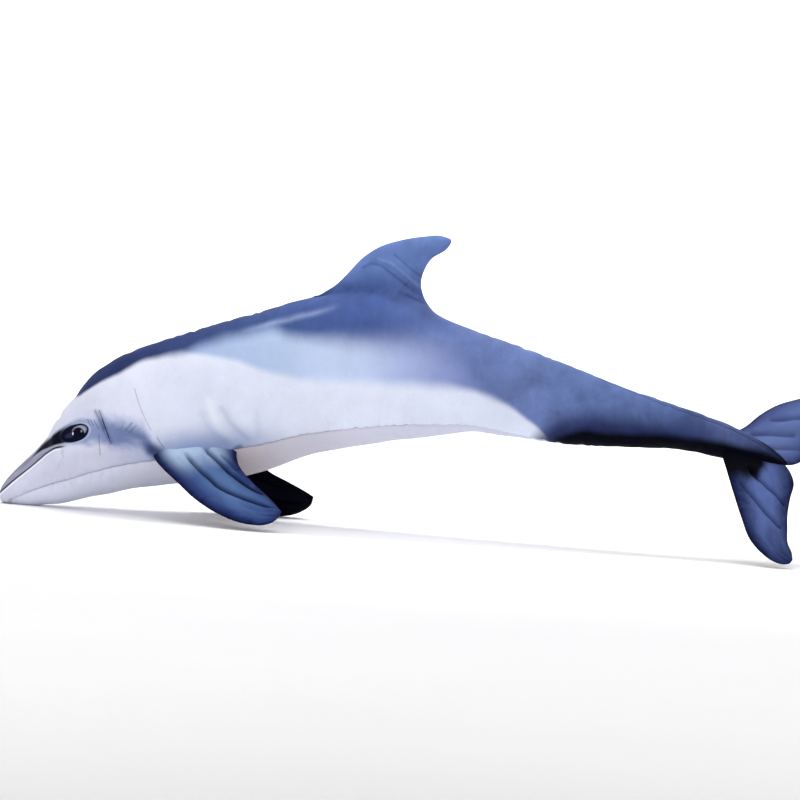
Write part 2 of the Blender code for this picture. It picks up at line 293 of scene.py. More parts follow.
# A row of them: where it starts and ends, then the least and most of spacing, reach, half width and depth
def puckerRow(seed, first, last, spacing, reach, width, depth):
    chance = np.random.default_rng(seed)
    row = []
    at = first
    while at < last:
        row.append((
            at,
            chance.uniform(-0.45, 0.45),
            chance.uniform(*reach),
            chance.uniform(*width),
            -chance.uniform(*depth),
        ))
        at += chance.uniform(*spacing)
    return row


# One cloth grid as an object: uv holds what its print is drawn by, and the last argument how much painted
# shade darkens its seams and creases
def clothPiece(name, points, uv, finish, thickness, flip=False, seamAndCreaseShade=None):
    rows, columns = points.shape[:2]
    index = np.arange(rows * columns).reshape(rows, columns)
    quads = np.stack([index[:-1, :-1], index[1:, :-1], index[1:, 1:], index[:-1, 1:]], axis=-1)
    quads = quads.reshape(-1, 4)
    if flip:
        quads = quads[:, ::-1]
    mesh = bpy.data.meshes.new(name)
    placed = toWorld(points)
    placed[..., 2] = np.maximum(placed[..., 2], 0)  # the floor presses it flat
    mesh.from_pydata(placed.reshape(-1, 3).tolist(), [], quads.tolist())
    if seamAndCreaseShade is not None:
        dark = mesh.attributes.new("seamAndCreaseShade", "FLOAT", "POINT")
        dark.data.foreach_set("value", seamAndCreaseShade.astype(np.float32).reshape(-1))
    layer = mesh.uv_layers.new(name="print")
    corners = uv.reshape(-1, 2)[quads.reshape(-1)]
    layer.data.foreach_set("uv", corners.astype(np.float32).reshape(-1))
    bm = bmesh.new()
    bm.from_mesh(mesh)
    bmesh.ops.remove_doubles(bm, verts=bm.verts[:], dist=2e-5)
    bmesh.ops.dissolve_degenerate(bm, edges=bm.edges[:], dist=1e-6)
    bm.to_mesh(mesh)
    bm.free()
    mesh.shade_smooth()
    mesh.materials.append(finish)
    piece = bpy.data.objects.new(name, mesh)
    bpy.context.scene.collection.objects.link(piece)
    if thickness:
        shell = piece.modifiers.new("clothThickness", "SOLIDIFY")
        shell.thickness = thickness
        shell.offset = -1
    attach(piece, "root")
    return piece


beakReach = {"length": 12 * mm, "fade": 0.095}


# The cloth of the beak is filled out a little further than its solids
def beakDrawn(points):
    points = points.copy()
    x = np.maximum(points[..., 0], 0)
    points[..., 0] -= beakReach["length"] * np.exp(-((x / beakReach["fade"]) ** 1.2))
    return points


# The angle from the back down to the belly seam, less the seam's gap
def halfBackAngle(u):
    _, _, halfDepth, halfWidth, angle = bodySection(u)
    margin = body["seamGap"] / np.maximum(halfDepth + halfWidth, body["seamGap"])
    return math.pi - angle - np.where(angle > 0, margin, 0)


# 1 on the part of the side grid that is drawn up into the fin
def atFin(rowCount, v):
    row = np.arange(rowCount)[:, None] - body["headRows"]
    window = smoothStep(0, 16, row) * (1 - smoothStep(-16, 0, row - body["finRows"]))
    return window * (1 - smoothStep(0.55 * fin["reach"], fin["reach"], v))


# The side panel's smooth form before it is rolled, with the fin drawn out of its upper edge
def sideForm():
    finRow = spline(np.array(fin["rows"], float) * mm, np.linspace(0, 1, body["finRows"]))
    uFin = uAt(finRow[:, 0])
    uHead = np.linspace(0, uFin[0], body["headRows"], endpoint=False)
    uTail = np.linspace(uFin[-1], 1, body["tailRows"] + 1)[1:]
    u = np.concatenate([uHead, uFin, uTail])[:, None]
    v = drawnSteps(body["columns"], body["columnDraw"])[None, :]
    points = unrolled(u + 0 * v, v * halfBackAngle(u))

    # The rows at the fin are drawn up and back to its edge
    rows = slice(body["headRows"], body["headRows"] + body["finRows"])
    part = points[rows]
    ridge = part[:, :1].copy()
    share = np.linspace(0, 1, body["finRows"])[:, None]
    joined = smoothStep(0, 0.06, share) * (1 - smoothStep(0.94, 1, share))
    pull = 1 - smoothStep(0, fin["reach"], v)
    for axis, edge, middle in ((0, 1, 3), (2, 2, 4)):
        toEdge = joined * (finRow[:, edge:edge + 1] - ridge[..., axis])
        toMiddle = joined * (finRow[:, middle:middle + 1] - ridge[..., axis])
        part[..., axis] += 2 * pull * (1 - pull) * toMiddle + pull ** 2 * toEdge

    # Its thickness: the body's own breadth at that height, melting into the fin's pillow
    x, z = part[..., 0], part[..., 2]
    _, middle, halfDepth, halfWidth, _ = bodySection(uAt(x))
    height = np.clip((z - middle) / halfDepth, -1, 1)
    power = body["fullness"]
    breadth = halfWidth * np.sqrt(1 - np.abs(height) ** (2 * power)) ** (1 / power)
    plan, edge = part[..., [0, 2]], part[:, 0, [0, 2]]
    tip = np.argmax(edge.sum(axis=1))
    fromLead = np.maximum(nearLine(plan, edge[:tip + 1])[0], 1e-6)
    fromTrail = np.maximum(nearLine(plan, edge[tip:])[0], 1e-6)
    away = (fromLead ** -3 + fromTrail ** -3) ** (-1 / 3)
    inside = np.clip(away / fin["pillow"], 0, 1)
    ends = smoothStep(0, 0.18, share) * (1 - smoothStep(0.74, 0.90, share))
    pillow = fin["halfThick"] * ends * np.sqrt(1 - (1 - inside) ** 2)
    melt = fin["melt"] * ends * smoothStep(0, 0.03, away) + 1e-6
    overlap = np.maximum(melt - np.abs(breadth - pillow), 0) / melt
    thick = np.maximum(breadth, pillow) + overlap ** 2 * melt / 4
    # Nowhere wider than a round back under the outline, so that the two sides meet in their seam
    thick = np.minimum(thick, 1.1 * np.sqrt(2 * away * halfWidth ** 2 / halfDepth))
    part[..., 1] = np.where(pull > 0, thick, part[..., 1])
    points[rows] = part
    return u, v, points


# Folds on the side panels, in mm along and up, as the photographed side has them: line, half width, height
sideFolds = (
    (((321, 148), (323, 139), (336, 108), (366, 79)), 8.5, 5.0),
    (((338, 142), (351, 117), (364, 102), (380, 90)), 7.0, -5.0),
    (((353, 146), (366, 117), (380, 102), (394, 92)), 7.5, 3.4),
    (((314, 140), (321, 118), (336, 96), (356, 80)), 9, -1.8),
    (((380, 140), (390, 112), (402, 92)), 9, -1.8),
    (((207.6, 164), (212, 155), (221, 130), (229.6, 110.6), (248.5, 87.4), (254, 75)), 2.2, -1.8),
    (((214, 164), (219, 154), (228, 130), (238, 108)), 5.0, 1.3),
    (((156, 131), (164, 108), (173, 84)), 2.2, -1.5),
    (((163, 128), (171, 104), (180, 82)), 3.2, 1.3),
    (((148, 131), (155, 118), (161, 107)), 2.4, -0.6),
    (((154, 98), (155, 78), (155, 62)), 2.2, -1.3),
    (((166, 92), (170, 72), (176, 56)), 3.4, -1.2),
    (((136, 82), (138, 66), (142, 50)), 3.4, -1.3),
    (((120, 76), (122, 60), (126, 46)), 3.2, -1.2),
    (((94, 75), (97, 60), (88, 44), (79, 28)), 2.6, -1.6),
    (((62, 46), (66, 40), (70, 34)), 2.4, -1.2),
    (((190, 82), (200, 66), (214, 60)), 4.0, -1.4),
    (((206, 92), (214, 78), (224, 66)), 4.0, 1.2),
    (((238, 66), (246, 82), (258, 96)), 3.0, 1.3),
    (((246, 62), (256, 76), (270, 88)), 3.0, -1.6),
    (((500, 326), (520, 320), (546, 330)), 4.0, 1.4),
    (((468, 300), (490, 306), (512, 316)), 4.0, -1.2),
)

# Folds that the fin's hollow trailing edge draws together, each ending on it
finFolds = (
    (((545, 347), (555, 352), (570, 349), (586, 336), (605, 321), (627, 306)), 4.4, -2.4),
    (((566, 357), (585, 352), (604, 337), (620, 322), (630, 314)), 4.4, 2.6),
    (((591, 366), (602, 356), (615, 345), (628, 335)), 4.4, -2.0),
    (((600, 306), (615, 297), (632, 289)), 4.4, -2.4),
)

# Rows of small folds along the seams, each with its seed, in metres
puckers = {
    name: puckerRow(*row) for name, *row in (
        ("jaw", 3, 0.008, 0.235, (0.008, 0.016), (0.014, 0.036), (0.0022, 0.0038), (0.0008, 0.0022)),
        ("flank", 5, 0.372, 0.80, (0.010, 0.022), (0.014, 0.042), (0.0024, 0.0046), (0.0007, 0.0021)),
        ("flankLong", 15, 0.44, 0.88, (0.014, 0.030), (0.05, 0.12), (0.006, 0.010), (0.0005, 0.0013)),
        ("back", 8, 0.085, 0.44, (0.015, 0.028), (0.014, 0.040), (0.003, 0.005), (0.0018, 0.0040)),
        ("tailBack", 9, 0.69, 1.15, (0.014, 0.028), (0.010, 0.030), (0.0025, 0.0045), (0.0008, 0.0022)),
        ("tailKeel", 12, 0.80, 1.15, (0.012, 0.024), (0.008, 0.026), (0.0025, 0.0045), (0.0008, 0.0024)),
    )
}
seam = {
    "depth": 1.5 * mm,
    "backDepth": 0.9 * mm,
    "width": 2.6 * mm,
    "shadeWidth": 0.9 * mm,
    "sideShade": 0.34,
    "bellyShade": 0.38,
    "backShade": 0.7,
    "backShadeWidth": 1.2 * mm,
    "backShadeStarts": (0.10, 0.14),
    "flatNear": 0.03,  # how far from a seam the filling's lumps reach their height
}

# Lumps of the filling under the side panels: seed, wavelength and height
sideLumps = ((20, 0.11, 1.2 * mm), (40, 0.038, 0.55 * mm), (60, 0.02, 0.22 * mm))


# The left flank as the camera sees it is the print's plane; the right one is printed alike
def printPlane(points):
    seen = rolled(beakDrawn(points), -1)
    up = np.minimum.accumulate(seen[..., 2], axis=1)
    return np.stack([seen[..., 0], up], axis=-1)


def sidePanels(finish):
    u, v, points = sideForm()
    plan = printPlane(points)
    fromBack = runAcross(points)
    fromBelly = fromBack[:, -1:] - fromBack
    inFin = atFin(len(points), v)[..., None]
    normal = outwardNormals(points, u) * (1 - inFin) + np.array((0, 1, 0)) * inFin
    x = points[..., 0]
    relief = foldRelief(points[..., [0, 2]], sideFolds)
    relief += foldRelief(points[..., [0, 2]], finFolds, 1.0) * smoothStep(0.001, 0.008, fromBack)
    for row in ("jaw", "flank", "flankLong", "tailKeel"):
        relief += seamPuckers(x, fromBelly, puckers[row])
    for row in ("back", "tailBack"):
        relief += seamPuckers(x, fromBack, puckers[row])
    relief -= seam["depth"] * bell(fromBelly, seam["width"])
    relief -= seam["backDepth"] * bell(fromBack, seam["width"])
    inSeam = smoothStep(0, seam["flatNear"], np.minimum(fromBack, fromBelly))
    shade = seam["sideShade"] * bell(fromBelly, seam["shadeWidth"])
    onBack = smoothStep(*seam["backShadeStarts"], x)
    shade += seam["backShade"] * bell(fromBack, seam["backShadeWidth"]) * onBack
    slim = smoothStep(0, 0.035, fromBack[:, -1:])  # none of it at the two tips
    for side, word in ((-1, "left"), (1, "right")):
        lumps = sum(unevenness(points, seed + side, *wave) for seed, *wave in sideLumps)
        shaped = points + normal * ((relief + lumps * inSeam) * slim)[..., None]
        shaped[..., 1] = np.maximum(shaped[..., 1], 0)
        placed = rolled(beakDrawn(shaped), side)
        placed[..., 1] += side * body["seamGap"] / 2
        title = f"sidePanel{word.title()}Velour"
        dark = np.clip(shade, 0, 1)
        piece = clothPiece(title, placed, plan, finish, body["cloth"], side > 0, dark)
        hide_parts(f"side_panel_{word}")


# The belly's cloth between the two seams, pointed at both ends
def bellyPanel(finish):
    opened = uTable[bodySection(uTable)[4] > math.radians(0.6)]
    u = np.linspace(opened[0], opened[-1], body["bellyRows"])[:, None]
    t = np.linspace(-1, 1, body["bellyColumns"])[None, :]
    t = t + 0.35 * np.sin(math.pi * t) / math.pi
    _, _, halfDepth, halfWidth, _ = bodySection(u)
    margin = body["seamGap"] / np.maximum(halfDepth + halfWidth, body["seamGap"])
    around = math.pi + t * np.maximum(math.pi - halfBackAngle(u) - 2 * margin, 0)
    points = unrolled(u + 0 * t, around)
    points[..., 1] *= -np.sign(np.sin(around))
    run = runAcross(points)
    fromSeam = np.minimum(run, run[:, -1:] - run)
    relief = seamPuckers(points[..., 0], fromSeam, puckers["jaw"] + puckers["flank"])
    relief -= seam["depth"] * bell(fromSeam, seam["width"])
    relief += unevenness(points, 31, 0.09, 0.8 * mm)
    slim = smoothStep(0, 0.03, run[:, -1:])  # none of it at the two points
    shaped = points + outwardNormals(points, u) * (relief * slim)[..., None]
    placed = rolled(beakDrawn(shaped), 1)
    dark = seam["bellyShade"] * bell(fromSeam, seam["shadeWidth"])
    piece = clothPiece("bellyPanelVelour", placed, points[..., :2], finish, body["cloth"], True, dark)
    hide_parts("belly_panel")


filling = {
    "depth": 6 * mm,  # how far under the cloth
    "finThinner": 0.6,
    "nearFinThinner": 0.3,  # around the fin it keeps clear of the cloth's folds
    "rows": slice(6, -6, 4),
    "columns": 30,
    "bellyColumns": 7,
    "bellyShare": 0.9,
    "firstColumn": 8,
    "firstColumnAtFin": 42,  # the fin draws the first columns together
}


# The filling of body and fin, a closed form a little under the cloth
def bodyFilling(finish):
    u, v, points = sideForm()
    inFin = atFin(len(points), v)
    points = points - outwardNormals(points, u) * (filling["depth"] * (1 - inFin))[..., None]
    points[..., 1] = np.maximum(points[..., 1] * (1 - filling["finThinner"] * inFin), 0)
    row = np.arange(len(points))[:, None] - body["headRows"]
    nearFin = smoothStep(-30, -6, row) * (1 - smoothStep(6, 30, row - body["finRows"]))
    points[..., 1] *= 1 - filling["nearFinThinner"] * nearFin
    keep = filling["rows"]
    start = filling["firstColumn"] * (1 - nearFin[keep]) + filling["firstColumnAtFin"] * nearFin[keep]
    place = start + (body["columns"] - 1 - start) * np.linspace(0, 1, filling["columns"])[None, :]
    column = np.minimum(place.astype(int), body["columns"] - 2)
    part = (place - column)[..., None]
    kept = points[keep]
    lower = np.take_along_axis(kept, column[..., None], axis=1)
    upper = np.take_along_axis(kept, column[..., None] + 1, axis=1)
    half = lower * (1 - part) + upper * part
    t = np.linspace(-filling["bellyShare"], filling["bellyShare"], filling["bellyColumns"])[None, :]
    under = unrolled(u[keep] + 0 * t, math.pi + t * (math.pi - halfBackAngle(u[keep])))
    under[..., 2] += filling["depth"]
    under[..., 1] *= t
    ring = np.concatenate([rolled(half, -1), under[:, 1:-1], rolled(half[:, ::-1], 1)], axis=1)
    ring[:, 0] = ring[:, -1] = (ring[:, 0] + ring[:, -1]) / 2
    piece = clothPiece("bodyFibreFilling", ring, ring[..., [0, 2]], finish, 0)
    fill = bmesh.new()
    fill.from_mesh(piece.data)
    bmesh.ops.holes_fill(fill, edges=[e for e in fill.edges if e.is_boundary])
    bmesh.ops.recalc_face_normals(fill, faces=fill.faces[:])
    fill.to_mesh(piece.data)
    fill.free()
    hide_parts("body_stuffing")


# Flippers and flukes, each side on its own: place on the body, edges in shares of chord and span, and the
# sewn creases in mm with their half width and depth
flipper = {
    "origin": (0.298, 0.0827, 0.0660),
    "droop": {-1: math.radians(42.19), 1: math.radians(51.63)},
    "sweep": {-1: 0.0, 1: math.radians(12)},
    "chord": 0.130,
    "span": 0.158,
    "creaseShade": 0.9,
    "halfThick": 0.0150,
    "leading": {
        -1: (
            (-0.53, -0.10), (-0.44, 0.08), (-0.33, 0.20), (-0.18, 0.34), (0.04, 0.55), (0.26, 0.71),
            (0.42, 0.80), (0.58, 0.865), (0.74, 0.90), (0.88, 0.905), (0.99, 0.865), (1.05, 0.80),
            (1.07, 0.74),
        ),
        1: (
            (-0.55, -0.12), (-0.27, 0.36), (0.10, 0.74), (0.38, 0.93), (0.60, 0.975), (0.80, 0.95),
            (0.94, 0.88), (1.00, 0.79),
        ),
    },
    "trailing": {
        -1: (
            (0.48, -0.20), (0.485, 0.03), (0.53, 0.15), (0.58, 0.22), (0.66, 0.314), (0.76, 0.418),
            (0.874, 0.525), (0.98, 0.63), (1.07, 0.74),
        ),
        1: (
            (0.50, -0.22), (0.46, 0.00), (0.49, 0.20), (0.58, 0.37), (0.784, 0.568), (0.91, 0.69),
            (1.00, 0.79),
        ),
    },
    "creases": {
        -1: (
            ((
                (-18, 0), (-6, 17), (11.5, 40), (23.5, 54), (40, 73), (61, 87), (84, 99), (104, 107),
                (122, 112), (136, 116),
            ), 3.2, 0.95),
            ((
                (11, -10), (21, 4), (35, 19), (43, 28), (57, 46), (70, 58), (83, 69), (95, 78), (118, 90),
            ), 3.2, 0.95),
            (((40, 8), (50, 18), (60, 30), (70, 42)), 3.4, 0.5),
        ),
        1: (
            (((-18, 10), (0, 42), (24, 74), (56, 104), (88, 122), (112, 128)), 3.4, 0.85),
            (((18, 10), (30, 34), (52, 60), (78, 84), (98, 98)), 3.4, 0.85),
        ),
    },
}
lobe = {
    "origin": (1.128, 0, 0.068),
    "slope": math.radians(22),
    "chord": 0.150,
    "span": 0.185,
    "creaseShade": 0.5,
    "halfThick": 0.0110,
    "leading": {
        -1: (
            (-0.42, 0.02), (-0.33, 0.11), (-0.26, 0.20), (-0.06, 0.47), (0.09, 0.665), (0.25, 0.845),
            (0.39, 0.92), (0.53, 0.955), (0.63, 0.945), (0.68, 0.915), (0.70, 0.87),
        ),
        1: (
            (-0.42, 0.02), (-0.29, 0.11), (-0.19, 0.22), (-0.09, 0.40), (0.04, 0.57), (0.22, 0.72),
            (0.40, 0.85), (0.55, 0.90), (0.65, 0.89), (0.70, 0.84),
        ),
    },
    "trailing": {
        -1: (
            (0.30, -0.02), (0.39, 0.04), (0.455, 0.12), (0.48, 0.31), (0.51, 0.47), (0.555, 0.605),
            (0.605, 0.735), (0.665, 0.80), (0.70, 0.87),
        ),
        1: (
            (0.30, 0.00), (0.40, 0.05), (0.46, 0.11), (0.485, 0.30), (0.515, 0.46), (0.56, 0.60),
            (0.61, 0.72), (0.67, 0.78), (0.70, 0.84),
        ),
    },
    "creases": {
        -1: (
            (((-6, 36), (17, 49), (40, 60), (62, 72), (74, 78)), 3.2, 0.8),
            (((-10, 64), (10, 78), (38, 98), (67, 116), (80, 122)), 3.2, 0.8),
            (((-12, 84), (0, 80), (12, 79)), 2.6, 0.5),
            (((-4, 96), (8, 96), (20, 100)), 2.6, 0.5),
        ),
        1: (
            (((-20, 24), (-14, 27), (6, 37), (25, 46), (52, 58)), 5.0, 0.55),
            (((8, 6), (17, 11), (38, 24), (58, 36), (72, 44)), 5.0, 0.5),
            (((0, 62), (26, 78), (52, 96), (76, 112)), 5.0, 0.5),
        ),
    },
}


# A flipper's or lobe's ways along its chord, along its span and up, and where its root lies
def flipperAxes(side):
    droop, sweep = flipper["droop"][side], flipper["sweep"][side]
    aft = Vector((1, 0, 0))
    out = Vector((0, side * math.cos(droop), -math.sin(droop)))
    up = Vector((0, side * math.sin(droop), math.cos(droop)))
    chordWay = aft * math.cos(sweep) - out * math.sin(sweep)
    spanWay = out * math.cos(sweep) + aft * math.sin(sweep)
    return np.array([chordWay, spanWay, up]), np.array(flipper["origin"]) * (1, side, 1)


def lobeAxes(side):
    roll, slope = body["tailRoll"], lobe["slope"]
    aft = Vector((math.cos(slope), 0, -math.sin(slope)))
    levelUp = Vector((math.sin(slope), 0, math.cos(slope)))
    right = Vector((0, math.cos(roll), 0)) + levelUp * math.sin(roll)
    up = levelUp * math.cos(roll) - Vector((0, math.sin(roll), 0))
    return np.array([aft, side * right, up]), np.array(lobe["origin"])


# How far a point lies outside the body, near enough: below 0 inside
def outsideBody(points):
    x, y, z = np.moveaxis(points, -1, 0)
    _, middle, halfDepth, halfWidth, _ = bodySection(uAt(np.clip(x, 0, body["length"])))
    halfDepth, halfWidth = np.maximum(halfDepth, 1e-4), np.maximum(halfWidth, 1e-4)
    roll = rollAt(x)
    across = y * np.cos(roll) + (z - middle) * np.sin(roll)
    up = -y * np.sin(roll) + (z - middle) * np.cos(roll)
    reach = np.sqrt((across / halfWidth) ** 2 + (up / halfDepth) ** 2)
    return np.where(x > body["length"], 1, (reach - 1) * np.minimum(halfDepth, halfWidth))


# For each sewn crease, how far off it each point lies, its half width, and its depth, less at both ends
def creasesNear(plan, creases):
    for line, width, depth in creases:
        gap, share = nearLine(plan, np.array(line) * mm)
        yield gap, width * mm, depth * smoothStep(0, 0.12, share) * (1 - smoothStep(0.88, 1, share))


# How far each point of a limb lies from its sewn edge
def fromLimbEdge(limb, c, v):
    return np.minimum(np.minimum(c, 1 - c) * limb["chord"], (1 - v) * limb["span"])


# Small hollows along a limb's edge seam: half width in shares of the span, depth in mm, and how far off the
# edge they lie
rim = {"hollows": 26, "width": (0.006, 0.014), "depth": (0.3, 1.0), "middle": 0.006, "reach": 0.007}


# A point of a limb's cloth, c across from the leading to the trailing edge and v from the root to the tip
def limbPoint(limb, side, axes, origin, c, v, face, creases, seed, inset=0.0):
    lead = spline(limb["leading"][side], v)
    trail = spline(limb["trailing"][side], v)
    plan = (lead * (1 - c)[..., None] + trail * c[..., None]) * (limb["chord"], limb["span"])
    pad = (1 - (2 * c - 1) ** 2) ** 0.62 * (1 - np.maximum(v, 0) ** 3) ** 0.62
    height = limb["halfThick"] * pad
    nip = np.ones_like(height)
    spread = 2.6 if inset else 1.0  # the filling lies well clear of the creases
    for gap, width, depth in creasesNear(plan, creases):
        nip *= 1 - depth * np.exp(-np.abs(gap / (width * spread)) ** 1.3)
    chance = np.random.default_rng(seed)
    ripple = np.zeros_like(height)
    for _ in range(rim["hollows"]):
        at = chance.uniform(0, 1)
        width = chance.uniform(*rim["width"])
        mine = (c < 0.5) if chance.uniform() < 0.5 else (c >= 0.5)
        ripple -= chance.uniform(*rim["depth"]) * mm * mine * bell(v - at, width)
    ripple *= bell(fromLimbEdge(limb, c, v) - rim["middle"], rim["reach"])
    least = 0.1 * mm if inset else (0.15 + np.minimum(pad * 2, 1)) * mm
    height = np.maximum(height * nip + ripple * pad - inset, least)
    flat = np.concatenate([plan, (face * height)[..., None]], axis=-1)
    points = flat @ axes + origin
    relief = unevenness(points, seed, 0.05, 1.0 * mm) + unevenness(points, seed + 3, 0.022, 0.35 * mm)
    relief = relief * pad * (inset == 0)
    return points + relief[..., None] * axes[2] * face


# How much painted shade darkens a limb's cloth in its sewn creases and along its edge seam, 0 to 1
def limbShade(limb, c, v, plan, creases):
    shade = 0.6 * bell(fromLimbEdge(limb, c, v), 2.5 * mm)
    for gap, width, depth in creasesNear(plan, creases):
        shade = np.maximum(shade, depth * bell(gap, 0.75 * width))
    return shade * limb["creaseShade"]


# One cloth of a limb, which starts 3 mm inside the body: the start is found by halving
def limbSheet(limb, side, axes, origin, face, creases, seed, rows=104, columns=88):
    c = drawnSteps(columns, 0.5)[None, :]
    low = np.zeros_like(c)
    high = np.ones_like(c) * 0.9
    for _ in range(24):
        half = (low + high) / 2
        inside = outsideBody(limbPoint(limb, side, axes, origin, c, half, face, (), seed)) < -3 * mm
        low, high = np.where(inside, half, low), np.where(inside, high, half)
    v = low + (1 - low) * drawnSteps(rows, 0.3)[:, None]
    c = c + 0 * v
    points = limbPoint(limb, side, axes, origin, c, v, face, creases, seed)
    plan = ((points - origin) @ axes.T)[..., :2]
    return points, np.stack([c, v], axis=-1), limbShade(limb, c, v, plan, creases)


# A limb's filling, 3.4 mm under its cloths
def limbFilling(limb, side, axes, origin, rows=60, columns=48):
    v, c = np.meshgrid(np.linspace(0.05, 0.93, rows), np.linspace(0.07, 0.93, columns), indexing="ij")
    creases = limb["creases"][side]
    top, under = (limbPoint(limb, side, axes, origin, c, v, face, creases, 1, 3.4 * mm) for face in (1, -1))
    return np.concatenate([top, under[:, ::-1], top[:, :1]], axis=1)


# Each flipper and lobe: two cloths sewn together round a filling of its own
def limbs(topFinish, undersideFinish, fillFinish):
    for side, word in ((-1, "left"), (1, "right")):
        for name, limb, (axes, origin), fill in (
            ("flipper", flipper, flipperAxes(side), 0.7),
            ("fluke", lobe, lobeAxes(side), 0.6),
        ):
            creases = limb["creases"][side]
            seed = len(name) * 10 + side
            for face, part, finish in ((1, "top", topFinish), (-1, "underside", undersideFinish)):
                points, plan, shade = limbSheet(limb, side, axes, origin, face, creases, seed + face)
                title = f"{name}{word.title()}{part.title()}Velour"
                skin = finish.get(name + word.title(), finish.get(name))
                piece = clothPiece(title, points, plan, skin, 0.6 * mm, face * side > 0, shade)
                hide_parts(f"{name}_{word}_{part}")
            ring = limbFilling(limb, side, axes, origin)
            piece = clothPiece(f"{name}{word.title()}Filling", ring, ring[..., :2], fillFinish, 0)
            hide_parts(f"{name}_{word}_stuffing")


# A hex sRGB colour as the linear one that sockets take
def hexColour(code):
    srgb = [int(code[i:i + 2], 16) / 255 for i in (1, 3, 5)]
    return (*[c / 12.92 if c <= 0.04045 else ((c + 0.055) / 1.055) ** 2.4 for c in srgb], 1)


# Links inputs of a node, or sets them, by name or number
def feed(tree, node, values):
    for key, value in values.items():
        if isinstance(value, bpy.types.NodeSocket):
            tree.links.new(value, node.inputs[key])
        else:
            node.inputs[key].default_value = value


# Adds one node: its settings, then what goes into its inputs in order or by name
def addNode(tree, kind, settings=None, *given, **named):
    node = tree.nodes.new("ShaderNode" + kind)
    for key, value in (settings or {}).items():
        setattr(node, key, value)
    numbers = [i for i, socket in enumerate(node.inputs) if socket.enabled]
    feed(tree, node, dict(zip(numbers, given)))
    feed(tree, node, named)
    return next(socket for socket in node.outputs if socket.enabled)


# Settings that several nodes share
add = {"operation": "ADD"}
subtract = {"operation": "SUBTRACT"}
multiply = {"operation": "MULTIPLY"}
multiplyAdd = {"operation": "MULTIPLY_ADD"}
scale = {"operation": "SCALE"}
absolute = {"operation": "ABSOLUTE"}
divide = {"operation": "DIVIDE"}
smooth = {"interpolation_type": "SMOOTHSTEP"}
mixColour = {"data_type": "RGBA"}
tintColour = {"data_type": "RGBA", "blend_type": "MULTIPLY"}

# What the curves of the print span, in mm along and up
span = {"start": -20, "length": 1270, "foot": -112.5, "height": 450}


# How far a spot of the print lies above a drawn line, in mm
def aboveLine(tree, along, up, points):
    share = addNode(tree, "Math", multiplyAdd, along, 1 / span["length"], -span["start"] / span["length"])
    line = addNode(tree, "FloatCurve", None, 1.0, share)
    shares = [((x - span["start"]) / span["length"], (z - span["foot"]) / span["height"]) for x, z in points]
    setCurve(line.node, shares)
    height = addNode(tree, "Math", multiplyAdd, line, span["height"], span["foot"])
    return addNode(tree, "Math", subtract, up, height)


def setCurve(node, points):
    curve = node.mapping.curves[0]
    points = [(min(max(x, 0), 1), y) for x, y in points]
    if points[0][0] > 0:
        points = [(0, points[0][1])] + points
    if points[-1][0] < 1:
        points = points + [(1, points[-1][1])]
    curve.points[0].location = points[0]
    curve.points[1].location = points[-1]
    for spot in points[1:-1]:
        curve.points.new(*spot)
    node.mapping.update()


# 0 to 1 over a soft edge of so many mm about a height, or 1 to 0; a softness may itself be a socket
def softEdge(tree, height, soft, falling=False):
    share = addNode(tree, "Math", divide, height, soft)
    return addNode(tree, "MapRange", smooth, share, -0.5, 0.5, float(falling), float(not falling))


def colourRamp(tree, share, stops):
    ramp = addNode(tree, "ValToRGB", None, share)
    elements = ramp.node.color_ramp.elements
    while len(elements) > 1:
        elements.remove(elements[-1])
    elements[0].position = stops[0][0]
    elements[0].color = hexColour(stops[0][1])
    for at, code in stops[1:]:
        elements.new(at).color = hexColour(code)
    return ramp


# 1 inside a stroke drawn between two points of the print, 0 outside
def stroke(tree, spot, start, end, halfWidth, soft):
    a, b = Vector((*start, 0)), Vector((*end, 0))
    way = b - a
    gone = addNode(tree, "VectorMath", subtract, spot, a)
    dot = addNode(tree, "VectorMath", {"operation": "DOT_PRODUCT"}, gone, way / way.length_squared)
    share = addNode(tree, "Clamp", None, dot, 0.0, 1.0)
    along = addNode(tree, "VectorMath", scale, way, Scale=share)
    away = addNode(tree, "VectorMath", {"operation": "DISTANCE"}, gone, along)
    return addNode(tree, "MapRange", smooth, away, halfWidth - soft, halfWidth + soft, 1.0, 0.0)


# 1 inside a tilted ellipse of the print, 0 outside
def oval(tree, spot, centre, radii, tilt, soft):
    gone = addNode(tree, "VectorMath", subtract, spot, (*centre, 0))
    angle = -math.radians(tilt)
    turned = addNode(tree, "VectorRotate", {"rotation_type": "Z_AXIS"}, gone, (0, 0, 0), Angle=angle)
    scaled = addNode(tree, "VectorMath", divide, turned, (*radii, 1))
    size = addNode(tree, "VectorMath", {"operation": "LENGTH"}, scaled)
    return addNode(tree, "MapRange", smooth, size, 1 - soft, 1 + soft, 1.0, 0.0)


# A material with its node tree and its shader
def newFinish(name):
    finish = bpy.data.materials.new(name)
    finish.use_nodes = True
    tree = finish.node_tree
    shader = tree.nodes["Principled BSDF"]
    return finish, tree, shader


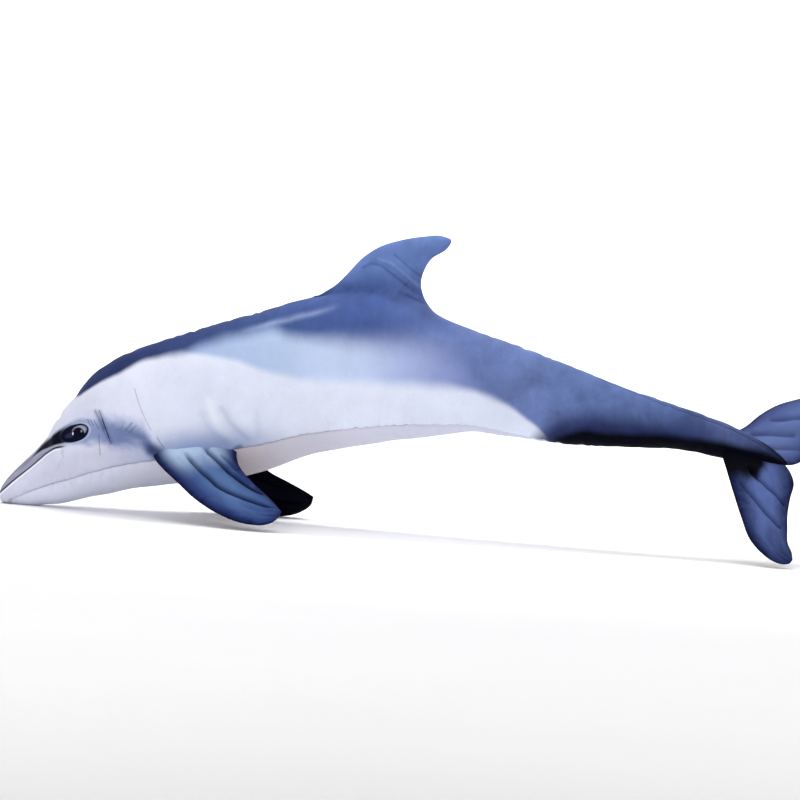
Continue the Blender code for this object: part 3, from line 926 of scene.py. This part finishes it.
# Printed polyester velour, short brushed pile on a knit: soft, nearly matt, with a faint satin sheen that
# lets the flank glow and pales the edges that turn away
def velourSurface(tree, shader, colour, sheen=0.04, roughness=0.7, gloss=0.03):
    place = addNode(tree, "TexCoord").node.outputs["Object"]
    pile = addNode(tree, "TexNoise", None, Vector=place, Scale=1 / (2.2 * mm), Detail=2.0, Roughness=0.6)
    nap = addNode(tree, "TexNoise", None, Vector=place, Scale=1 / (60 * mm), Detail=3.0, Roughness=0.55)
    # The pile's tufts are 0.3 mm apart, too fine to show, so they are drawn about seven times coarser
    tufts = addNode(tree, "Bump", None, Strength=0.25, Distance=0.25 * mm, Height=pile)
    shade = addNode(tree, "MapRange", None, nap, 0.3, 0.7, 0.955, 1.03)
    seamAndCreaseShade = addNode(tree, "Attribute", {"attribute_name": "seamAndCreaseShade"}).node.outputs["Fac"]
    # Painted shade: seams and sewn creases are tinted darker, as shadow falls in them
    colour = addNode(tree, "Mix", tintColour, seamAndCreaseShade, colour, hexColour("#62678F"))
    brushed = addNode(tree, "Mix", tintColour, 1.0, colour, shade)
    grain = addNode(tree, "MapRange", None, pile, 0.3, 0.7, 0.97, 1.03)
    tinted = addNode(tree, "Mix", tintColour, 1.0, brushed, grain)
    rough = addNode(tree, "MapRange", None, nap, 0.3, 0.7, roughness - 0.05, roughness + 0.06)
    feed(tree, shader, {
        "Base Color": tinted,
        "Roughness": rough,
        "Normal": tufts,
        "Metallic": 0,
        "IOR": 1.5,
        "Specular IOR Level": gloss,
        "Sheen Weight": sheen,
        "Sheen Roughness": 0.45,
    })


# Lines of the side print, in mm along and up from the beak's tip
sidePrint = {
    "capeEdge": (
        (0, 90), (60, 128), (84, 139), (98, 145), (110, 149), (124, 155), (144, 167), (183, 185), (230, 207),
        (274, 217), (302, 227), (347, 239), (395, 250), (418, 251), (434, 244), (450, 239), (499, 237),
        (559, 236), (618, 233), (663, 225), (690, 208), (708, 184), (724, 162), (759, 146), (789, 124),
        (817, 97), (840, 60), (900, -40), (1250, -60),
    ),
    "jawEdge": ((0, 0), (60, 40), (100, 62), (160, 80), (230, 84), (300, 60)),
    "capeSoft": (
        (0, 5), (100, 6), (230, 12), (290, 24), (347, 32), (400, 30), (430, 28), (500, 40), (600, 60),
        (670, 70), (710, 34), (790, 14), (900, 10),
    ),
    "whiteEdge": (
        (0, 300), (240, 260), (280, 222), (305, 214), (347, 208), (388, 197), (423, 187), (493, 179),
        (573, 175), (650, 170), (690, 168), (724, 160), (759, 147), (789, 127), (817, 99), (840, 60),
        (1250, -60),
    ),
    "whiteSoft": ((0, 10), (300, 12), (420, 18), (560, 26), (640, 26), (700, 18), (820, 9), (1250, 8)),
    "mouth": (
        (-20, -4), (-9.4, 3.9), (2, 13.5), (13, 22.8), (38, 42.8), (54, 56.2), (72, 69.2), (84, 74),
        (96, 76.6), (130, 77),
    ),
    "stripeLow": ((0, 28), (30, 48), (44, 60), (61, 70.5), (81, 77.5), (99, 82.0), (120, 84)),
    "stripeUp": ((0, 24), (30, 47), (46, 66), (60, 81.5), (79, 95.5), (97, 106), (111, 110.6), (130, 112)),
    "keelEdge": (
        (0, -80), (700, -60), (780, 40), (815, 82), (850, 100), (875, 106), (898, 102), (928, 99.5),
        (987, 98), (1031, 92.5), (1076, 88), (1105, 81), (1142, 72), (1172, 59), (1250, 20),
    ),
    "duskEdge": (
        (0, -60), (700, -40), (780, 58), (815, 106), (870, 130), (930, 122), (987, 114), (1031, 106),
        (1250, 60),
    ),
    "cheekUp": (
        (0, 118), (137, 121), (175, 125), (196, 122), (213, 117), (228, 106), (236, 93), (243, 77),
        (300, 60),
    ),
    "cheekLow": (
        (0, 84), (141, 84), (175, 81), (196, 82), (213, 81), (222, 74), (230, 65), (250, 48), (300, 38),
    ),
    "cheekCore": (
        (0, 110), (150, 112), (175, 112), (196, 109), (213, 105), (225, 97), (233, 86), (241, 71), (300, 54),
    ),
}


def sideVelour():
    finish, tree, shader = newFinish("printedVelourSide")
    uv = addNode(tree, "UVMap", {"uv_map": "print"})
    spot = addNode(tree, "VectorMath", scale, uv, Scale=1000.0)
    along = addNode(tree, "SeparateXYZ", None, spot)
    up = along.node.outputs["Y"]
    lengthShare = addNode(tree, "Math", divide, along, span["length"])
    cloud = addNode(tree, "TexNoise", None, Vector=spot, Scale=0.012, Detail=2.0, Roughness=0.4)
    drift = addNode(tree, "MapRange", None, cloud, 0.25, 0.75, -4.0, 4.0)
    upDrifted = addNode(tree, "Math", add, up, drift)

    def softness(points):
        curve = addNode(tree, "FloatCurve", None, 1.0, lengthShare)
        setCurve(curve.node, [(x / span["length"], soft / 100) for x, soft in points])
        return addNode(tree, "Math", multiply, curve, 100.0)

    def both(*masks):
        made = masks[0]
        for mask in masks[1:]:
            made = addNode(tree, "Math", multiply, made, mask)
        return made

    def layer(under, colour, *masks):
        if isinstance(colour, str):
            colour = hexColour(colour)
        return addNode(tree, "Mix", mixColour, both(*masks), under, colour)

    def above(line, soft, height=up):
        return softEdge(tree, aboveLine(tree, along, height, line), soft)

    def below(line, soft, height=up):
        return softEdge(tree, aboveLine(tree, along, height, line), soft, True)

    def lengthBetween(start, end, soft):
        rise = addNode(tree, "MapRange", smooth, along, start - soft, start, 0.0, 1.0)
        fall = addNode(tree, "MapRange", smooth, along, end, end + soft, 1.0, 0.0)
        return both(rise, fall)

    def brushLine(line, width, soft):
        made = 0.0
        for start, end in zip(line, line[1:]):
            mark = stroke(tree, spot, start, end, width, soft)
            made = addNode(tree, "Math", {"operation": "MAXIMUM"}, made, mark)
        return made

    # Lines drawn over the colour: points, half width, softness, strength, colour
    def drawLines(colour, marks):
        for line, width, soft, strength, code in marks:
            colour = layer(colour, code, brushLine(line, width, soft), strength)
        return colour

    # Ovals drawn over it: centre, radii, tilt, softness, colour, strength
    def drawOvals(colour, marks):
        for centre, radii, tilt, soft, code, strength in marks:
            colour = layer(colour, code, oval(tree, spot, centre, radii, tilt, soft), strength)
        return colour

    # Fine streaks that the print's brush left, drawn out up and down the cloth
    stretched = addNode(tree, "VectorMath", multiply, spot, (0.075, 0.018, 1))
    streaks = addNode(
        tree, "TexNoise", None, Vector=stretched, Scale=1.0, Detail=3.0, Roughness=0.6, Distortion=0.6
    )
    mottle = addNode(
        tree, "TexNoise", None, Vector=spot, Scale=0.035, Detail=4.0, Roughness=0.6, Distortion=0.5
    )

    # White flank, with the jaw and cheek a little greyer
    colour = colourRamp(tree, lengthShare, (
        (0.0, "#CDCEE2"), (0.08, "#D4D6E9"), (0.16, "#DCE0F1"), (0.26, "#D9DFF0"), (0.4, "#E0E6F6"),
        (0.62, "#D8DEF0"),
    ))
    jaw = below(sidePrint["jawEdge"], 24)
    colour = layer(colour, "#CACADD", jaw, lengthBetween(-20, 190, 60))

    # Pale blue blaze between the white and the cape
    blaze = above(sidePrint["whiteEdge"], softness(sidePrint["whiteSoft"]), upDrifted)
    blazeColour = colourRamp(tree, lengthShare, (
        (0.20, "#8C9ECB"), (0.27, "#A9BCDF"), (0.34, "#B4C6E6"), (0.40, "#C2D0EE"), (0.43, "#C0CDED"),
        (0.48, "#A9B6E0"), (0.52, "#8F9CCD"), (0.56, "#7685BA"),
    ))
    colour = layer(colour, blazeColour, blaze)

    # Blue cape over head, back, fin and tail
    capeHeight = aboveLine(tree, along, upDrifted, sidePrint["capeEdge"])
    cape = softEdge(tree, capeHeight, softness(sidePrint["capeSoft"]))
    capeColour = colourRamp(tree, lengthShare, (
        (0.04, "#242D58"), (0.14, "#27325E"), (0.24, "#344577"), (0.34, "#43588D"), (0.44, "#485D96"),
        (0.54, "#687AAE"), (0.62, "#687AAE"), (0.70, "#6074A8"), (0.77, "#586B9E"), (0.81, "#43527F"),
        (0.855, "#525F8E"), (0.885, "#3F4A76"), (0.93, "#1E264B"),
    ))
    colour = layer(colour, capeColour, cape)
    ridge = softEdge(tree, addNode(tree, "Math", subtract, capeHeight, 26.0), 30)
    colour = layer(colour, "#28325F", ridge, lengthBetween(60, 330, 90), 0.6)
    finTint = above(((0, 322), (450, 322), (560, 330), (1250, 318)), 40)
    colour = layer(colour, "#6780BA", finTint, 0.85)
    shoulder = oval(tree, spot, (560, 272), (130, 30), -6, 0.6)
    colour = layer(colour, "#435592", shoulder, cape, 0.35)
    streak = brushLine(((347, 244), (400, 258), (452, 270), (490, 280), (512, 287)), 2.2, 6)
    colour = layer(colour, "#A9BAE0", streak, lengthBetween(405, 470, 50), 0.6)

    # Folds that gather the fin: painted shade in them and a painted highlight along their backs
    colour = drawLines(colour, (
        (((566, 358), (585, 352), (604, 337), (620, 322), (631, 313)), 1.5, 3.0, 0.35, "#8FA6DA"),
        (((543, 345), (555, 351), (570, 348), (586, 336), (605, 321), (629, 304)), 1.4, 3.2, 0.6, "#374982"),
        (((590, 364), (602, 354), (615, 342), (628, 332)), 1.2, 3.0, 0.5, "#374982"),
        (((597, 309), (615, 299), (634, 290)), 1.4, 3.4, 0.6, "#374982"),
        (((604, 320), (630, 298)), 1.0, 2.6, 0.5, "#374982"),
    ))

    # The tail darkens towards its keel
    dusk = below(sidePrint["duskEdge"], 40, upDrifted)
    colour = layer(colour, "#1E2550", dusk, lengthBetween(800, 1030, 70), 0.92)
    keel = both(below(sidePrint["keelEdge"], 14), lengthBetween(838, 1250, 40))
    colour = layer(colour, "#03040F", keel)

    # Brush streaks and mottling over all of it
    strength = addNode(tree, "MapRange", None, cape, 0.0, 1.0, 0.2, 1.0)
    lightness = addNode(tree, "MapRange", None, streaks, 0.3, 0.7, 0.955, 1.05)
    streaked = addNode(tree, "Mix", tintColour, strength, colour, lightness)
    blotch = addNode(tree, "MapRange", None, mottle, 0.3, 0.7, 0.90, 1.10)
    colour = addNode(tree, "Mix", tintColour, strength, streaked, blotch)
    patches = addNode(
        tree, "TexNoise", None, Vector=spot, Scale=0.022, Detail=3.0, Roughness=0.55, Distortion=0.3
    )
    patchy = addNode(tree, "MapRange", None, patches, 0.35, 0.65, 0.82, 1.08)
    onTail = both(cape, lengthBetween(800, 1250, 160))
    colour = addNode(tree, "Mix", tintColour, onTail, colour, patchy)

    # Painted highlight along the ridge above the flipper's rear root and painted shade in the hollow beside
    # it and to both sides
    colour = drawLines(colour, (
        (((321, 146), (336, 108), (364, 81)), 4.0, 7.0, 0.5, "#F2F3FB"),
        (((340, 137), (351, 117), (364, 102), (379, 92)), 3.0, 5.5, 0.5, "#B9BCD2"),
        (((312, 128), (322, 104), (346, 82)), 3.0, 9.0, 0.4, "#B4BCD6"),
        (((393, 134), (394, 99)), 3.0, 8.0, 0.25, "#B9BCD2"),
    ))

    # Grey upper beak and the fine line of the mouth
    aboveMouth = aboveLine(tree, along, up, sidePrint["mouth"])
    beak = both(softEdge(tree, aboveMouth, 2.0), lengthBetween(-20, 88, 22))
    colour = layer(colour, "#9796AC", beak, below(sidePrint["stripeLow"], 10))
    beakTop = softEdge(tree, addNode(tree, "Math", subtract, aboveMouth, 9.0), 6)
    colour = layer(colour, "#5E6081", beakTop, lengthBetween(-20, 30, 20), 0.7)
    lip = addNode(tree, "Math", absolute, aboveMouth)
    mouthLine = addNode(tree, "MapRange", smooth, lip, 0.4, 2.2, 1.0, 0.0)
    colour = layer(colour, "#1B1B33", mouthLine, lengthBetween(-20, 90, 12))
    under = addNode(tree, "Math", add, aboveMouth, 3.4)
    under = addNode(tree, "Math", absolute, under)
    underLine = addNode(tree, "MapRange", smooth, under, 0.4, 2.0, 1.0, 0.0)
    colour = layer(colour, "#F2F1F8", underLine, lengthBetween(-8, 88, 12), 0.85)
    corner = stroke(tree, spot, (94, 74), (96, 62), 1.0, 3.0)
    colour = layer(colour, "#7C7F9E", corner, 0.35)

    # Soft grey-blue wash from the eye to the flipper: brushed on, so broken at its edge, with a darker core
    broken = addNode(tree, "MapRange", None, mottle, 0.35, 0.65, -4.0, 4.0)
    upBroken = addNode(tree, "Math", add, up, broken)
    reach = both(above(sidePrint["cheekLow"], 22, upBroken), lengthBetween(138, 250, 26))
    colour = layer(colour, "#A3AFD1", below(sidePrint["cheekUp"], 22, upBroken), reach, 0.75)
    cheekColour = colourRamp(tree, lengthShare, (
        (0.11, "#8792B9"), (0.145, "#6B79A4"), (0.18, "#5F6D97"), (0.20, "#434F7B"),
    ))
    colour = layer(colour, cheekColour, below(sidePrint["cheekCore"], 20, upBroken), reach, 0.95)

    # Shade round the flipper's root: all of it, and at its front and rear ends
    colour = drawOvals(colour, (
        ((306, 72), (92, 27), 6, 0.8, "#8494BF", 0.9),
        ((238, 73), (15, 9), -30, 0.7, "#27325F", 0.85),
        ((362, 77), (8, 5), 30, 0.6, "#4B5A88", 0.7),
    ))

    # Dark stripe from the beak to the eye
    stripe = both(above(sidePrint["stripeLow"], 4), below(sidePrint["stripeUp"], 8))
    colour = layer(colour, "#040518", stripe, lengthBetween(37, 104, 12))

    # Strokes of the printed skin folds behind the eye: start, end, half width, softness, strength
    for start, end, width, soft, dark in (
        ((156, 128), (173, 86), 3.2, 4.0, 0.40),
        ((148.5, 130), (162, 104), 2.4, 3.4, 0.42),
        ((155.5, 131), (163, 111), 0.7, 1.1, 0.7),
        ((160, 119), (170, 92), 1.2, 0.9, 1.0),
        ((167, 100), (172.8, 83), 0.8, 1.2, 0.7),
        ((148.5, 131), (161.5, 106), 0.6, 1.4, 0.45),
        ((136, 117.5), (141, 108.5), 0.8, 0.8, 0.8),
        ((141, 117.5), (145.5, 109), 0.8, 0.8, 0.75),
        ((146, 117.5), (154, 105), 0.7, 0.9, 0.6),
        ((154.5, 95), (155, 66), 0.8, 1.4, 0.55),
        ((160, 104), (167, 90), 0.6, 1.2, 0.4),
        ((208, 164), (221, 130), 0.5, 0.8, 0.5),
        ((221, 130), (234, 103), 0.5, 1.2, 0.45),
        ((196, 104), (206, 114), 0.8, 1.6, 0.5),
        ((202, 100), (212, 110), 0.8, 1.6, 0.45),
        ((243, 92), (252, 78), 0.7, 1.6, 0.5),
    ):
        colour = layer(colour, "#2A3563", stroke(tree, spot, start, end, width, soft), dark)

    # The eye
    colour = drawOvals(colour, (
        ((120, 99.0), (27, 18.0), 18, 0.24, "#8592BC", 0.75),
        ((122.0, 98.6), (20.6, 13.8), 21, 0.05, "#C3CBE2", 0.45),
        ((114.0, 96.8), (24.6, 12.6), 17, 0.08, "#06081F", 1.0),
        ((119.6, 98.2), (19.4, 12.2), 20, 0.05, "#06081F", 1.0),
        ((109.0, 94.6), (11.0, 3.8), 20, 0.3, "#272A4B", 1.0),
        ((123.0, 101.4), (11.8, 6.8), 12, 0.22, "#A3A5B9", 0.9),
        ((121.4, 96.6), (10.4, 9.2), 10, 0.12, "#05061A", 1.0),
        ((119.0, 89.4), (14.0, 3.6), 16, 0.35, "#080A26", 1.0),
        ((112.0, 96.4), (1.1, 2.2), -12, 0.4, "#E4E6F0", 1.0),
        ((127.0, 100.6), (1.4, 2.0), -12, 0.4, "#8F93AA", 0.8),
    ))
    # The near-black print of the keel has hardly any sheen
    calm = addNode(tree, "Math", multiplyAdd, keel, -0.037, 0.04)
    velourSurface(tree, shader, colour, calm)
    return finish


def bellyVelour():
    finish, tree, shader = newFinish("printedVelourBelly")
    uv = addNode(tree, "UVMap", {"uv_map": "print"})
    along = addNode(tree, "SeparateXYZ", None, uv)
    share = addNode(tree, "Math", divide, along, 1.25)
    # Painted shadow: the brownish grey about 0.29 along is the shade the flipper casts on the belly behind
    # it
    colour = colourRamp(tree, share, (
        (0.0, "#D8DAEB"), (0.1, "#D6D8E9"), (0.2, "#D2D3E3"), (0.29, "#C6BCC2"), (0.35, "#CECBD8"),
        (0.44, "#D2D2E2"), (0.6, "#CBCDDF"),
    ))
    velourSurface(tree, shader, colour)
    return finish


# The limbs' print: dark at the edges and the tip, another colour at the root that fades out along the limb;
# on the flipper's top that paler root is a painted highlight
def limbVelour(
    name, stops, rootCode, strength, reach=(0.05, 0.42), edge=(0.05, 0.5), slant=0.0, sheen=0.04, gloss=0.03
):
    finish, tree, shader = newFinish("printedVelour" + name)
    uv = addNode(tree, "UVMap", {"uv_map": "print"})
    chord = addNode(tree, "SeparateXYZ", None, uv)
    out = chord.node.outputs["Y"]
    centred = addNode(tree, "Math", multiplyAdd, chord, 2.0, -1.0)
    centred = addNode(tree, "Math", absolute, centred)
    fromEdge = addNode(tree, "Math", subtract, 1.0, centred)
    tip = addNode(tree, "Math", subtract, 1.04, out)
    tip = addNode(tree, "Math", multiply, tip, 1.6)
    least = addNode(tree, "Math", {"operation": "SMOOTH_MIN"}, fromEdge, tip, 0.2)
    mottle = addNode(
        tree, "TexNoise", None, Vector=uv, Scale=5.0, Detail=4.0, Roughness=0.6, Distortion=1.0
    )
    shift = addNode(tree, "MapRange", None, mottle, 0.3, 0.7, -0.10, 0.10)
    colour = colourRamp(tree, addNode(tree, "Math", add, least, shift), stops)
    reached = addNode(tree, "Math", multiplyAdd, shift, 0.25, out)
    behind = addNode(tree, "Math", subtract, chord, 0.42)
    behind = addNode(tree, "Math", {"operation": "MAXIMUM"}, behind, 0.0)
    reached = addNode(tree, "Math", multiplyAdd, behind, slant, reached)
    root = addNode(tree, "MapRange", smooth, reached, *reach, strength, 0.0)
    middle = addNode(tree, "MapRange", smooth, fromEdge, *edge, 0.0, 1.0)
    mask = addNode(tree, "Math", multiply, root, middle)
    colour = addNode(tree, "Mix", mixColour, mask, colour, hexColour(rootCode))
    velourSurface(tree, shader, colour, sheen, 0.62, gloss)
    return finish


# Polyester fibre filling, crimped and carded: matt white wool that scatters light
def fibreFilling():
    finish, tree, shader = newFinish("polyesterFibreFilling")
    place = addNode(tree, "TexCoord").node.outputs["Object"]
    wool = addNode(
        tree, "TexNoise", None, Vector=place, Scale=1 / (4 * mm), Detail=6.0, Roughness=0.7, Distortion=1.5
    )
    colour = colourRamp(tree, wool, ((0.3, "#D9D8D2"), (0.7, "#F1F0EB")))
    crimp = addNode(tree, "Bump", None, Strength=0.8, Distance=1 * mm, Height=wool)
    feed(tree, shader, {"Base Color": colour, "Normal": crimp, "Roughness": 0.95, "Sheen Weight": 0.3})
    return finish


studio = {
    "azimuth": math.radians(-4.5),
    "elevation": math.radians(2.0),
    "roll": math.radians(4.107),
    "target": (-0.04875, 0.0, 0.20106),
    "distance": 5.0,
    "lens": 150.15,
    "air": 0.38,
    "sweepStart": 1.6,
    "sweepRadius": 1.4,
    "sweepHalfWidth": 6.0,
    "sweepHeight": 6.0,
    "sweepSteps": 16,
    "lights": (
        ("softboxTop", (-0.2, -0.6, 2.4), (0, 0, 0.15), (2.6, 2.0), 25),
        ("softboxFront", (-1.3, -2.6, 1.5), (0, 0, 0.2), (1.8, 1.6), 20),
        ("softboxRight", (1.6, -2.2, 0.9), (0.1, 0, 0.2), (1.6, 1.4), 8),
        ("backdropWash", (0, 0.7, 2.4), (0, 2.9, 0.6), (3.2, 0.8), 90),
    ),
}


def pointAt(thing, spot):
    way = Vector(spot) - thing.location
    thing.rotation_euler = way.to_track_quat("-Z", "Y").to_euler()


def buildStudio():
    scene = bpy.context.scene
    scene.view_settings.view_transform = "Standard"
    world = bpy.data.worlds.new("studioAir")
    world.use_nodes = True
    air = world.node_tree.nodes["Background"]
    feed(world.node_tree, air, {"Color": (1, 1, 1, 1), "Strength": studio["air"]})
    scene.world = world

    # Floor that sweeps up into the backdrop
    radius, start, breadth = studio["sweepRadius"], studio["sweepStart"], studio["sweepHalfWidth"]
    profile = [(-8.0, 0.0), (-2.0, 0.0), (0.0, 0.0), (start, 0.0)]
    for i in range(1, studio["sweepSteps"] + 1):
        turn = math.pi / 2 * i / studio["sweepSteps"]
        profile.append((start + radius * math.sin(turn), radius * (1 - math.cos(turn))))
    profile.append((start + radius, studio["sweepHeight"]))
    mesh = bpy.data.meshes.new("studioSweep")
    corners = [(x, y, z) for y, z in profile for x in (-breadth, breadth)]
    faces = [(2 * i, 2 * i + 1, 2 * i + 3, 2 * i + 2) for i in range(len(profile) - 1)]
    mesh.from_pydata(corners, [], faces)
    mesh.shade_smooth()
    backdrop = bpy.data.objects.new("studioSweep", mesh)
    scene.collection.objects.link(backdrop)
    finish, tree, shader = newFinish("paperSweep")
    # Matt white background paper: a faint fibre mottle
    fibre = addNode(tree, "TexNoise", None, Scale=40.0, Detail=3.0)
    tint = colourRamp(tree, fibre, ((0.3, "#FCFCFD"), (0.7, "#FEFEFF")))
    feed(tree, shader, {"Base Color": tint, "Roughness": 0.9})
    # Its back lets the view through, so that the toy can be seen from behind and below
    back = addNode(tree, "NewGeometry").node.outputs["Backfacing"]
    clear = addNode(tree, "BsdfTransparent")
    seen = addNode(tree, "MixShader", None, back, shader.outputs["BSDF"], clear)
    tree.links.new(seen, tree.nodes["Material Output"].inputs["Surface"])
    mesh.materials.append(finish)

    for name, place, aim, size, power in studio["lights"]:
        lamp = bpy.data.lights.new(name, "AREA")
        lamp.shape = "RECTANGLE"
        lamp.size, lamp.size_y = size
        lamp.energy = power
        holder = bpy.data.objects.new(name, lamp)
        holder.location = place
        scene.collection.objects.link(holder)
        pointAt(holder, aim)

    az, el, roll = studio["azimuth"], studio["elevation"], studio["roll"]
    look = Vector((math.sin(az) * math.cos(el), math.cos(az) * math.cos(el), -math.sin(el)))
    right = look.cross(Vector((0, 0, 1))).normalized()
    up = right.cross(look)
    turnedRight = right * math.cos(roll) + up * math.sin(roll)
    turnedUp = up * math.cos(roll) - right * math.sin(roll)
    lens = bpy.data.cameras.new("photoCamera")
    lens.lens = studio["lens"]
    lens.clip_end = 60
    camera = bpy.data.objects.new("photoCamera", lens)
    eye = Vector(studio["target"]) - look * studio["distance"]
    turn = Matrix((turnedRight, turnedUp, -look)).transposed().to_4x4()
    camera.matrix_world = Matrix.Translation(eye) @ turn
    scene.collection.objects.link(camera)
    scene.camera = camera


buildStudio()
print("studio: sweep, four lights and camera")

sideFinish = sideVelour()
bellyFinish = bellyVelour()
fillFinish = fibreFilling()
flipperBlue = ((0.0, "#0F1638"), (0.10, "#1D2A5C"), (0.30, "#394E82"), (0.8, "#5470A0"))
flukeBlue = ((0.0, "#0A0F2A"), (0.10, "#19224C"), (0.32, "#36436F"), (0.75, "#52639A"))
farFlukeBlue = ((0.0, "#1A2140"), (0.10, "#34406C"), (0.30, "#48568A"), (0.8, "#586A9F"))
nightBlue = ((0.0, "#04050C"), (0.3, "#05060F"), (0.9, "#070816"))
topFinish = {
    # The flipper's pale root is a painted highlight over its blue print
    "flipper": limbVelour("Flipper", flipperBlue, "#C2D8F2", 1.0, (0.02, 0.35)),
    "flukeLeft": limbVelour("NearFluke", flukeBlue, "#03040D", 1.0, (0.20, 0.32), (-0.2, -0.1), 0.7),
    "flukeRight": limbVelour("FarFluke", farFlukeBlue, "#6878AC", 0.4),
}
underFinish = {
    "flipper": limbVelour("FlipperUnder", nightBlue, "#07081A", 0.3, sheen=0.0, gloss=0.01),
    "fluke": limbVelour("FlukeUnder", nightBlue, "#07081A", 0.3, sheen=0.0),
}
print("finishes: printed velour and fibre")

sidePanels(sideFinish)
bellyPanel(bellyFinish)
bodyFilling(fillFinish)
print("body: two side panels with the fin, belly panel, filling")

limbs(topFinish, underFinish, fillFinish)
print("limbs: two flippers and two fluke lobes, each with top, underside and filling")
